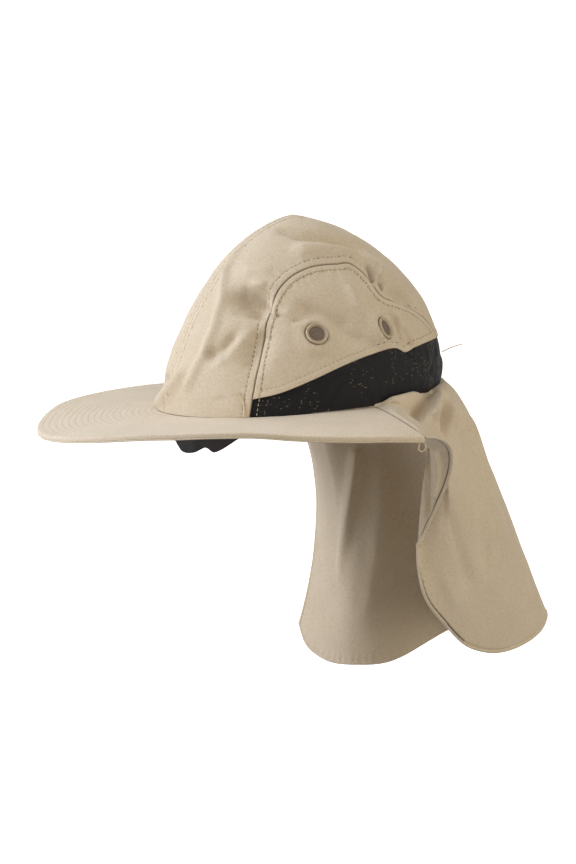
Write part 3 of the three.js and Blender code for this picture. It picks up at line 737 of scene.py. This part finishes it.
def ringProfile():  # radius and height round the rolled rim and its barrel
    bore, outer, crest, rise, depth = (vent[key] for key in ("bore", "outer", "crest", "rise", "depth"))
    return [
        (bore, -depth), (bore + 0.5, -depth), (bore + 0.5, -0.4), (outer, -0.4), (outer + 0.05, 0.4),
        (outer - 0.2, 0.9), (crest + 0.35, rise), (crest - 0.1, rise), (crest - 0.35, rise - 0.4),
        (bore + 0.65, 0.1), (bore + 0.35, 0.5), (bore + 0.05, 0.3), (bore, 0),
    ]


def ventDish():  # verts and faces of the gauze, a shallow dish closed by two caps
    screen, bore, sides = vent["screen"], vent["bore"], vent["screenSides"]
    radii = np.linspace(0, bore - screen["gap"], screen["rows"] + 1)[1:]
    dish = [(r, screen["bulge"] * (1 - (r / bore) ** 2)) for r in radii]
    dish += [(r, z - screen["thickness"]) for r, z in dish[::-1]]
    verts, faces = spun(dish, sides)
    count = len(dish)
    faces = [f for f in faces if not (max(v % count for v in f) == count - 1 and min(v % count for v in f) == 0)]
    faces.append([s * count for s in range(sides)][::-1])
    faces.append([s * count + count - 1 for s in range(sides)])
    return verts, faces


def ventPieces(word, side):
    for (place, node, _, _), (centre, axis) in zip(vent["places"], ventPlaces(side)):
        turn = np.array(Vector((0, 0, 1)).rotation_difference(Vector(axis)).to_matrix())
        verts, faces = spun(ringProfile(), vent["sides"])
        ring = finishMesh(f"ventRing{place}{word}", verts @ turn.T + centre, faces, eyeletPaint, crease=60)
        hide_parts(f"vent_ring_{node}_{word.lower()}")
        verts, faces = ventDish()
        screen = finishMesh(f"ventScreen{place}{word}", verts @ turn.T + centre, faces, gauze, crease=60)
        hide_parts(f"vent_screen_{node}_{word.lower()}")


for sideName, sideSign in wearerSides:
    ventPieces(sideName, sideSign)
print("vents set")


# Mesh band

meshBand = {
    "frontTurn": -40.4,
    "base": 4.9,
    "tuck": 1.5,
    "inset": 0.9,
    "thickness": 0.7,
    "columns": 520,
    "rows": 46,
    "gathers": (20, 42),        # turns where the gathers start and are whole
    "gatherPitch": 4.6,
    "gatherDepth": 0.28,
    "gatherWander": [(2, 14, 0.35, 11)],
    "bellyHeight": 36,
    "bellyPower": 0.7,
    "bellyRise": 1.2,
    "lumps": {"rise": 0.9, "size": 9, "seed": 12},
    "mapScale": 1.6,            # mm for a degree of turn in the seam map
    "folds": [                  # width, rise and line
        (1.6, 1.1, [(22, 40), (33, 30), (47, 13)]),
        (3.0, -1.6, [(26, 39), (36, 30), (50, 15)]),
        (3.0, -1.4, [(50, 36), (57, 22)]),
    ],
}


def meshBandPiece():
    band, lumps = meshBand, meshBand["lumps"]
    turns = np.linspace(band["frontTurn"], 180 - band["frontTurn"], band["columns"])
    mirrored = np.where(turns > 90, 180 - turns, turns)
    top = smoothRows(meshTop, mirrored) + band["tuck"]
    share = np.linspace(0, 1, band["rows"])[:, None]
    height = band["base"] + (top - band["base"])[None] * share
    turnGrid = np.broadcast_to(turns, height.shape)
    disc = onDisc(turnGrid, height)
    base = clothPoint(disc)
    normal = normalOf(clothPoint, disc)
    strength = ramp(mirrored, *band["gathers"])
    ribs = np.sin(2 * math.pi * turnGrid / band["gatherPitch"] + softLumps(base, band["gatherWander"]))
    belly = np.sin(math.pi * np.clip((height - band["base"]) / band["bellyHeight"], 0, 1)) ** band["bellyPower"]
    lift = strength * belly * (band["gatherDepth"] * ribs + band["bellyRise"])
    lift += strength * belly * lumps["rise"] * crumple(base, lumps["size"], lumps["seed"]) - band["inset"]
    for width, rise, line in band["folds"]:
        lift += rise * bentLine(onDome(line), base, width)
    outer = base + normal * lift[..., None]
    inner = outer - normal * band["thickness"]
    uv = np.stack([turnGrid * band["mapScale"], height], -1)
    piece = clothWall("meshBand", outer, inner, blackMesh, uv)
    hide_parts("mesh_band_left", "mesh_band_right")


meshBandPiece()
print("mesh gathered")


# Brim

brim = {
    "halfWidth": 153,
    "front": 191.5,
    "back": 125,
    "endTurn": 11,
    "thickness": 4.2,
    "inset": 3,
    "droopCurve": 1.4,
    "edgeRound": 0.9,
    "columns": 430,
    "topRows": 86,
    "rowPower": 0.9,
    "cornerRows": 5,
    "edgeRows": 5,
    "lumps": [(0.3, 30, 1, 21), (0.1, 8, 1, 22)],
    "quilt": {"depth": 0.12, "width": 0.8, "from": 4, "whole": 7},
    "edgeStitch": {"down": 1.1, "depth": 0.4, "width": 0.3},
}

# Turn and how far the edge droops there
brimDroop = [
    (-191, 11), (-165, 1), (-131, -0.5), (-110, 5.2), (-90, 5.4), (-70, 1.6),
    (-50, -2.3), (-31, -2.2), (-20, 2.3), (-5, 7.9), (11, 13),
]


def brimPoint(turn, share):
    turn, share = np.broadcast_arrays(np.asarray(turn, float), np.asarray(share, float))
    c, s = np.cos(np.radians(turn)), np.sin(np.radians(turn))
    reach = np.where(s > 0, brim["back"], brim["front"])
    x = (crown["halfWidth"] - brim["inset"]) * (1 - share) + brim["halfWidth"] * share
    y = (crown["halfLength"] - brim["inset"]) * (1 - share) + reach * share
    drop = smoothRows(brimDroop, turn)
    z = brim["thickness"] - drop * np.maximum(share, 0) ** brim["droopCurve"]
    return np.stack([x * c, y * s, z], -1)


def brimPiece():
    turns = np.linspace(-180 - brim["endTurn"], brim["endTurn"], brim["columns"])
    edge = brimPoint(turns, 1.0)
    width = np.linalg.norm(edge - brimPoint(turns, 0.0), axis=1)
    rounding, thickness, quilt, stitchRow = (brim[key] for key in ("edgeRound", "thickness", "quilt", "edgeStitch"))
    top = np.linspace(1, 0, brim["topRows"])[:, None] ** brim["rowPower"]
    corner = np.linspace(0, math.pi / 2, brim["cornerRows"] + 1)[1:, None]
    side = np.linspace(rounding, thickness / 2, brim["edgeRows"] + 1)[1:, None]
    ones = np.ones_like(turns)
    cornerIn, cornerDown = (rounding * (1 - curve(corner)) * ones for curve in (np.sin, np.cos))
    fromEdge = np.concatenate([rounding + top * (width - rounding), cornerIn, 0 * side * ones])
    down = np.concatenate([0 * top * ones, cornerDown, side * ones])
    share = 1 - fromEdge / width
    base = brimPoint(np.broadcast_to(turns, share.shape), share)
    lumps = softLumps(base, brim["lumps"])
    pitch = sewing["quiltSpacing"]
    fromLine = np.abs((fromEdge + pitch / 2) % pitch - pitch / 2)
    grooves = -quilt["depth"] * bell(fromLine, quilt["width"]) * ramp(fromEdge, quilt["from"], quilt["whole"])
    level = np.zeros(base.shape)
    level[..., 2] = lumps + grooves - down
    outer = base + level
    level[..., 2] = lumps - grooves + down - thickness
    inner = base + level
    outward = unit(edge - brimPoint(turns, 0.5)) * [1, 1, 0]
    rising = thickness - down
    stitched = bell(rising - (thickness - stitchRow["down"]), stitchRow["width"]) * (fromEdge < 0.01)
    inner -= outward[None] * (stitchRow["depth"] * stitched)[..., None]
    along = np.broadcast_to(lengthAlong(edge), share.shape)
    uv = np.stack([along, fromEdge - down], -1)
    innerUv = np.stack([along, np.where(down > 0, fromEdge - rising, fromEdge)], -1)
    piece = clothWall("brimQuilted", outer, inner, brimNylon, uv, innerUv=innerUv)
    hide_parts("brim")


brimPiece()
print("brim quilted")


# Sweatband

# Turn and height of its lower edge
bandHem = [
    (-165, 1), (-120, 0), (-95, -6), (-84, -14), (-78, -21.5), (-69, -21.5),
    (-62, -17.5), (-57, -20.5), (-45, -10.5), (-35, -2), (-15, 1),
]
sweatband = {
    "thickness": 1.3,
    "inset": 3.4,
    "top": 22,
    "columns": 260,
    "rows": 44,
    "ripples": [(0.9, 9, 0, 31)],   # in the edge that hangs free, whole at this depth
    "rippleDepth": 10,
    "lumps": [(0.3, 5, 1, 32)],
    "mapScale": 1.7,
}


def sweatbandPiece():
    turns = np.linspace(bandHem[0][0], bandHem[-1][0], sweatband["columns"])
    hem = smoothRows(bandHem, turns)
    share = np.linspace(0, 1, sweatband["rows"])[:, None]
    height = hem[None] + (sweatband["top"] - hem)[None] * share
    turnGrid = np.broadcast_to(turns, height.shape)
    point = domePoint(onDisc(turnGrid, np.maximum(height, 0)))
    ripple = softLumps(point, sweatband["ripples"]) * ramp(-height, 0, sweatband["rippleDepth"])
    ripple = ripple + softLumps(point, sweatband["lumps"])

    def layer(inset):
        x = point[..., 0] - (inset + ripple) * np.cos(np.radians(turnGrid))
        y = point[..., 1] - (inset + ripple) * np.sin(np.radians(turnGrid))
        return np.stack([x, y, height], -1)

    uv = np.stack([turnGrid * sweatband["mapScale"], height], -1)
    inset = sweatband["inset"]
    piece = clothWall("sweatbandJersey", layer(inset), layer(inset + sweatband["thickness"]), bandJersey, uv)
    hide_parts("sweatband")


sweatbandPiece()
print("sweatband set")


# Neck cape

cape = {
    "thickness": 0.9,
    "thinnest": 0.12,       # half of the wall where the groove is deepest
    "seamHeight": 5.4,
    "seamInset": 1.6,
    "brimGap": 0.1,
    "brimDrop": 0.5,
    "seamShare": 0.62,
    "acrossStops": (-1, -0.96, -0.8, 0.96, 1),      # more rows of points by the near edge
    "acrossSteps": (16, 60, 220, 14),
    "fallStops": (0, 0.94, 1),
    "fallSteps": (115, 23),
    "freeFrom": (0.01, 0.12),
    "liftFrom": (0, 0.06),
    "lumps": [(0.7, 26, 0.35, 41), (0.3, 10, 0.6, 42)],
    "beadWidth": 2.3,       # the rolled edge, stitched down beside its groove
    "beadRise": 0.5,
    "grooveOff": 0.3,
    "grooveWidth": 0.55,
    "grooveDepth": 0.9,
    "grooveSunk": 0.55,     # the groove's share in the outer face, and its share in the wall's thickness
    "grooveThinned": 0.45,
    "grooveFade": {"share": 0.6, "from": 200, "whole": 300},
    # painted shade darkens the groove beside the free edge only this far along it
    "grooveShownTo": 215,
    "puckerDepth": 0.9,
    "puckerPitch": 5.5,
    "puckerReach": 5,
    "puckerBand": (0.8, 3.5),
    "puckerWander": [(2, 12, 1, 43)],
    "puckerLeast": 0.4,
    "puckerLumps": [(0.6, 25, 1, 44)],
    # painted shade: a dark line this far from the cape's seam with the brim, over this share of its fall
    "brimGrooveAt": 0.6,
    "brimGrooveTo": 0.04,
}

# Lines of cloth: the place across, then the seam's shoulder, the knee and the foot at the hem
capeLines = [
    (-1, (144, 52, -10), (116, 75, -37), (107, 35, -91)),
    (-0.95, (125, 46, -17), (85, 48, -61), (108, 35, -108)),
    (-0.89, (121, 60, -4), (99, 65, -80), (106, 40, -130)),
    (-0.81, (124, 65, -2), (104, 71, -100), (98, 57, -152)),
    (-0.72, (111, 71, 5), (98, 91, -112), (92, 80, -175)),
    (-0.6, (94, 87, 13), (90, 116, -121), (82, 114, -186)),
    (-0.42, (67, 103, 21), (72, 132, -99), (64, 155, -181)),
    (-0.27, (42, 113, 26), (48, 135, -88), (40, 173, -172)),
    (-0.05, (2, 130, 25), (-8, 134, -95), (-19, 169, -184)),
    (0.12, (-42, 130, 13), (-64, 132, -110), (-74, 152, -207)),
    (0.38, (-72, 89, 8), (-68, 96, -112), (-69, 98, -223)),
    (0.55, (-88, 61, 6), (-75, 81, -108), (-76, 67, -223)),
    (0.7, (-99, 61, 2), (-91, 79, -110), (-93, 52, -221)),
    (0.86, (-117, 67, -5), (-110, 80, -112), (-114, 45, -212)),
    (1, (-146, 76, -13), (-128, 86, -94), (-129, 46, -198)),
]

# Name, width, rise, the line's places across and shares of the fall, and the strength where it changes.
# A positive rise is outward.
capeFolds = [
    ("flute valley", 4.5, -10, [(-0.35, 0.06), (-0.42, 0.09), (-0.53, 0.133), (-0.617, 0.173), (-0.72, 0.15)],
     (0.5, 1, 1, 1, 0.3)),
    ("flute ridge", 4, 8.5, [(-0.385, 0.118), (-0.488, 0.165), (-0.578, 0.205), (-0.675, 0.223)],
     (0.5, 1, 1, 0.4)),
    ("valley behind the flute", 3.4, -7.5, [(-0.385, 0.175), (-0.463, 0.223), (-0.547, 0.26), (-0.62, 0.302)],
     (0.3, 1, 1, 0.4)),
    ("ridge behind the flute", 4, 3.5, [(-0.37, 0.23), (-0.455, 0.27), (-0.55, 0.31)], (0.3, 1, 0.4)),
    ("ridge along the brim", 2.5, 2.4, [(-0.677, 0.035), (-0.792, 0.035), (-0.887, 0.03), (-0.95, 0.03)]),
    ("puff over the mesh", 5.5, 4.2,
     [(-0.643, 0.04), (-0.58, 0.06), (-0.525, 0.065), (-0.47, 0.09), (-0.395, 0.075)]),
    ("near fold 1", 7, -3.4,
     [(-0.42, 0.268), (-0.502, 0.367), (-0.585, 0.473), (-0.635, 0.583), (-0.655, 0.728)]),
    ("near fold 2", 8, 2.8, [(-0.345, 0.312), (-0.435, 0.44), (-0.505, 0.568), (-0.542, 0.698)]),
    ("near fold 3", 6, -2.8, [(-0.83, 0.573), (-0.772, 0.69), (-0.722, 0.802)]),
    ("near fold 4", 9, -1.4, [(-0.3, 0.4), (-0.34, 0.65), (-0.38, 0.9)]),
    ("near fold 5", 5, 1.2, [(-0.877, 0.82), (-0.823, 0.85), (-0.762, 0.89)]),
    ("far ridge", 4.5, -6.5,
     [(0.44, 0.443), (0.482, 0.525), (0.53, 0.61), (0.585, 0.693), (0.635, 0.763), (0.663, 0.835)],
     (0.6, 1, 0.9, 0.6, 0.3, 0)),
    ("far hollow", 16, 3, [(0.27, 0.35), (0.26, 0.5), (0.27, 0.65), (0.29, 0.76), (0.33, 0.9)]),
    ("far middle ridge", 6, -1, [(0.37, 0.5), (0.38, 0.62), (0.43, 0.76), (0.5, 0.9)]),
    ("far pleat", 5, 1.8, [(0.4, 0.84), (0.3, 0.78)]),
    ("far dent", 3, 1.4, [(0.955, 0.767), (0.83, 0.76)]),
    ("curl crease", 2.2, 2.8, [(-0.958, 0.26), (-0.965, 0.545), (-0.978, 0.83)]),
    ("curl fold", 2, -2.8, [(-0.973, 0.307), (-0.978, 0.503), (-0.98, 0.733)]),
    ("soft valley by the brim", 3.5, -2, [(-0.725, 0.055), (-0.787, 0.068), (-0.9, 0.06)]),
    ("back flute 1", 12, -4, [(-0.15, 0.1), (-0.12, 0.5), (-0.1, 0.95)]),
    ("back flute 2", 12, 3.5, [(0.08, 0.08), (0.07, 0.5), (0.02, 0.95)]),
]


def capeSeam(at):
    side = np.where(at < 0, 1.0, -1.0)
    reach = np.abs(at)
    turn = np.radians(90 - (90 - brim["endTurn"]) * np.minimum(reach, cape["seamShare"]) / cape["seamShare"])
    x = side * (crown["halfWidth"] - cape["seamInset"]) * np.cos(turn)
    y = (crown["halfLength"] - cape["seamInset"]) * np.sin(turn)
    crownSide = np.stack([x, y, np.full_like(x, cape["seamHeight"])], -1)
    first = (brim["inset"] - cape["seamInset"]) / (brim["halfWidth"] - crown["halfWidth"] + brim["inset"])
    share = first + (1 - first) * (reach - cape["seamShare"]) / (1 - cape["seamShare"])
    brimTurn = np.where(side > 0, brim["endTurn"], -180 - brim["endTurn"])
    brimSide = brimPoint(brimTurn, np.clip(share, 0, 1)) + [0, cape["brimGap"], -cape["brimDrop"]]
    return np.where((reach < cape["seamShare"])[:, None], crownSide, brimSide)


def capeGrid(at, fall):
    places, *points = zip(*capeLines)
    shoulder, knee, foot = (smoothLine(places, p, at)[None] for p in points)
    w = fall[:, None, None]
    start = (1 - w) ** 3 * capeSeam(at)[None] + 3 * w * (1 - w) ** 2 * shoulder
    return start + 3 * w * w * (1 - w) * knee + w**3 * foot


def alongFold(line, strength=None):  # closer points of a fold's line on the cape, and its strength at each
    count = len(line)
    steps = np.linspace(0, count - 1, 3 * count - 2)
    at, fall = (np.interp(steps, range(count), values) for values in zip(*line))
    strength = np.interp(steps, range(count), np.ones(count) if strength is None else strength)
    return np.array([capeGrid(a, f)[0, 0] for a, f in zip(at[:, None], fall[:, None])]), strength


def between(stops, counts):  # steps from stop to stop, with a count for each stretch
    parts = [np.linspace(low, high, count + 1)[:-1] for low, high, count in zip(stops, stops[1:], counts)]
    return np.concatenate([*parts, stops[-1:]])


def capePiece():
    at = between(cape["acrossStops"], cape["acrossSteps"])
    fall = between(cape["fallStops"], cape["fallSteps"])
    base = capeGrid(at, fall)
    normal = gridNormals(base)
    outward = base * [1, 1, 0] - [0, 30, 0]
    if (normal * outward).sum() < 0:
        normal = -normal
    edge = np.concatenate([base[:, 0], base[-1, 1:], base[-2::-1, -1]])
    gap, along = nearestOn(edge, base)
    free = ramp(fall, *cape["freeFrom"])[:, None] * np.ones_like(at)
    held = ramp(fall, *cape["liftFrom"])[:, None]
    lift = softLumps(base, cape["lumps"])
    for _, width, rise, line, *strength in capeFolds:
        line, strength = alongFold(line, *strength)
        lift += rise * bentLine(line, base, width, strength)
    hung = base + normal * (lift * held)[..., None]
    beat = np.sin(2 * math.pi * along / cape["puckerPitch"] + softLumps(base, cape["puckerWander"]))
    puckerHere = cape["puckerLeast"] + softLumps(base, cape["puckerLumps"])
    reach = np.exp(-gap / cape["puckerReach"])
    lift += cape["puckerDepth"] * puckerHere * beat * reach * ramp(gap, *cape["puckerBand"])
    lift *= held
    fromGroove, fade = gap - cape["beadWidth"] - cape["grooveOff"], cape["grooveFade"]
    bead = cape["beadRise"] * np.sqrt(np.clip(1 - (gap / cape["beadWidth"] * 2 - 1) ** 2, 0, 1)) * free
    groove = -cape["grooveDepth"] * bell(fromGroove, cape["grooveWidth"]) * free
    groove *= 1 - fade["share"] * ramp(along, fade["from"], fade["whole"])
    skin = np.maximum(cape["thickness"] / 2 + bead + groove * cape["grooveThinned"], cape["thinnest"])
    outer = base + normal * (lift + groove * cape["grooveSunk"] + skin)[..., None]
    inner = base + normal * (lift - skin)[..., None]
    # painted shade: the seam map darkens the groove beside the free edge
    across = np.where((free > 0.5) & (along < cape["grooveShownTo"]), fromGroove, sewing["unmapped"])
    # painted shade: a dark line along the cape's seam with the brim
    onBrim = (np.abs(at) > cape["seamShare"]) & (fall < cape["brimGrooveTo"])[:, None]
    across = np.where(onBrim, np.linalg.norm(base - base[:1], axis=-1) - cape["brimGrooveAt"], across)
    piece = clothWall("neckCape", outer, inner, capeNylon, np.stack([along, across], -1))
    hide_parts("neck_cape")
    width = float(np.linalg.norm(np.diff(hung, axis=1), axis=-1).sum(1).max()) * mm


capePiece()
print("cape hung")


# Stitches and loose threads

stitch = {"length": 2.1, "radius": 0.2, "above": 0.05, "points": 4}
stitchRows = {"side": (0.15, 13.8), "hem": (-37, 47), "middle": (0.02, 0.98)}     # stretches of the three seams


def besideSeam(curve, stretch, side, offset):  # points on the cloth beside a seam, at a distance
    disc = curve(np.linspace(*stretch, 1600)) * [side, 1]
    ahead = unit(np.gradient(clothPoint(disc), axis=0))
    lateral = np.cross(normalOf(clothPoint, disc), ahead)
    step = 0.003
    perDisc = np.stack([slope / (2 * step) for slope in slopes(clothPoint, disc, step)], -1)
    shifted = disc + np.einsum("nij,nj->ni", np.linalg.pinv(perDisc), lateral * offset)
    return clothPoint(shifted) + normalOf(clothPoint, shifted) * stitch["above"]


def cutStitches(line):
    arc = lengthAlong(line)
    strands = []
    for start in np.arange(1, arc[-1] - sewing["stitchPitch"], sewing["stitchPitch"]):
        at = start + np.linspace(0, stitch["length"], stitch["points"])
        strands.append(np.stack([np.interp(at, arc, line[:, k]) for k in range(3)], -1))
    return strands


def seamStitches():
    topAt, sideAt, hemAt = (seamRelief[key] for key in ("topStitchAt", "sideStitchAt", "hemAt"))
    strands = []
    for side in (1, -1):
        for offset in (topAt * side, -sideAt * side):
            strands += cutStitches(besideSeam(seamPoint, stitchRows["side"], side, offset))
        strands += cutStitches(besideSeam(meshTopDisc, stitchRows["hem"], side, hemAt * side))
    for offset in (topAt, -topAt):
        strands += cutStitches(besideSeam(centreDisc, stitchRows["middle"], 1, offset))
    piece = threadMesh("seamStitches", strands, stitch["radius"], thread)


seamStitches()

looseEnds = {
    "radius": 0.42,
    "points": 28,
    "front": [(-47.5, 22), (-45.5, 18.5), (-43.5, 14.5), (-42.5, 9.5), (-42, 5.5)],     # turn and height
    "frontOff": 1.012,      # times its distance from the middle, to clear the cloth
    "frontUp": 0.4,
    "back": [(52, 90, 32), (55, 95, 34.5), (57, 99, 36), (58, 104, 37)],
    "loop": [(-1, -1, -4), (-0.6, -2.5, -8), (-0.4, 0, -10), (0, 2.6, -7.5), (0, 2, -4.6)],
    "loopBefore": 1.2,      # degrees before the brim's end, from where the loop's points are measured
}


def looseThreads():
    front = np.array([clothPoint(onDisc(*p)[None])[0] for p in looseEnds["front"]])
    front = front * looseEnds["frontOff"] + [0, 0, looseEnds["frontUp"]]
    loop = brimPoint(brim["endTurn"] - looseEnds["loopBefore"], 1.0) + looseEnds["loop"]
    strands = []
    for line in (front, looseEnds["back"], loop):
        last = len(line) - 1
        strands.append(smoothLine(range(last + 1), line, np.linspace(0, last, looseEnds["points"])))
    piece = threadMesh("looseThreads", strands, looseEnds["radius"], thread)


looseThreads()
print("seams stitched")


# Camera, light and floor

camera = {
    "azimuth": 66,
    "elevation": 8,
    "hatPitch": 3.5,        # the hat sits with its bill a little low
    "distance": 1.7,
    "mmPerPixel": 0.72,
    "originPixel": (299, 402),
    "framePixels": (576, 864),
    "sensorWidth": 36,
}


def cameraAxes():
    az, el = math.radians(camera["azimuth"]), math.radians(camera["elevation"])
    right = Vector((math.cos(az), math.sin(az), 0))
    back = Vector((math.sin(az) * math.cos(el), -math.cos(az) * math.cos(el), math.sin(el)))
    level = Matrix.Rotation(math.radians(-camera["hatPitch"]), 3, "X")
    right, back = level @ right, level @ back
    return right, back.cross(right), back


def addObject(name, data):
    item = bpy.data.objects.new(name, data)
    bpy.context.scene.collection.objects.link(item)
    return item


def setCamera():
    right, up, back = cameraAxes()
    width, height = camera["framePixels"]
    scale = camera["mmPerPixel"] * mm
    px, py = camera["originPixel"]
    aim = right * (width / 2 - px) * scale + up * (py - height / 2) * scale
    data = bpy.data.cameras.new("camera")
    data.sensor_width = camera["sensorWidth"]
    data.lens = camera["sensorWidth"] * camera["distance"] / (height * scale)
    data.clip_end = 100
    eye = addObject("camera", data)
    turn = Matrix((right, up, back)).transposed().to_4x4()
    eye.matrix_world = Matrix.Translation(aim + back * camera["distance"]) @ turn
    bpy.context.scene.camera = eye


# A lamp stands at steps to the right of, above and behind the camera's line from the hat, in metres
lights = {
    "lamps": [
        {"name": "key", "power": 6.8, "size": 0.6, "right": -0.87, "up": 1.4, "back": 0.52, "colour": "#dbe8ff"},
        {"name": "rear", "power": 6.1, "size": 0.6, "right": -0.9, "up": 1.35, "back": -0.75, "colour": "#e6eeff"},
        {"name": "left", "power": 19.5, "size": 0.6, "right": -1.5, "up": 0.6, "back": 0.4, "colour": "#e6eeff"},
        {"name": "low", "power": 8, "size": 0.8, "right": -1.45, "up": -0.45, "back": 0.25, "colour": "#f4f6ff"},
        {"name": "fill", "power": 8.7, "size": 0.8, "right": 1.4, "up": 0.15, "back": 0.8, "colour": "#fff9ea"},
        {"name": "front", "power": 4.5, "size": 0.8, "right": 0.3, "up": 0.3, "back": 1.65, "colour": "#ffffff"},
    ],
    "sky": "#f8f4ec",
    "ground": "#9c958c",
    "horizon": {"From Min": -0.35, "From Max": 0.6},
    "skyStrength": 0.52,
    "backdrop": {"Color": (1, 1, 1, 1), "Strength": 1.05},      # seen by the camera alone
}


def setLamps():
    right, up, back = cameraAxes()
    for light in lights["lamps"]:
        data = bpy.data.lights.new(light["name"], "AREA")
        data.energy = light["power"]
        data.size = light["size"]
        data.color = linearOf(light["colour"])[:3]
        lamp = addObject(light["name"], data)
        lamp.location = right * light["right"] + up * light["up"] + back * light["back"]
        lamp.rotation_euler = lamp.location.to_track_quat("Z", "Y").to_euler()


def setSky():
    world = bpy.data.worlds.new("studio")
    world.use_nodes = True
    tree = world.node_tree
    tree.nodes.clear()
    height = addNode(tree, splitter, [addNode(tree, place).outputs["Generated"]]).outputs["Z"]
    blend = addNode(tree, mapRange, {"Value": height, **lights["horizon"]})
    ground, sky = linearOf(lights["ground"]), linearOf(lights["sky"])
    colour = addNode(tree, mixer, {"Factor": blend, "A": ground, "B": sky}, colours)
    glow = addNode(tree, "ShaderNodeBackground", {"Color": colour, "Strength": lights["skyStrength"]})
    white = addNode(tree, "ShaderNodeBackground", lights["backdrop"])
    both = addNode(tree, "ShaderNodeMixShader", (addNode(tree, "ShaderNodeLightPath"), glow, white))
    addNode(tree, "ShaderNodeOutputWorld", {"Surface": both})
    bpy.context.scene.world = world


studioFloor = {"half": 40.0, "low": -0.62, "shade": "#f4f3f1", "glow": "#ffffff"}


def setFloor():
    half, low = studioFloor["half"], studioFloor["low"]
    mesh = bpy.data.meshes.new("studioFloor")
    corners = [(-half, -half, low), (half, -half, low), (half, half, low), (-half, half, low)]
    mesh.from_pydata(corners, [], [(0, 1, 2, 3)])
    material, _, shader = newMaterial("paleFloor")
    shade, glow = linearOf(studioFloor["shade"]), linearOf(studioFloor["glow"])
    feed(shader, {"Base Color": shade, "Roughness": 0.9, "Emission Color": glow, "Emission Strength": 1.0})
    mesh.materials.append(material)
    floor = addObject("studioFloor", mesh)
    floor.visible_diffuse = False


setCamera()
setLamps()
setSky()
setFloor()
bpy.context.scene.view_settings.view_transform = "Standard"
print("studio ready")
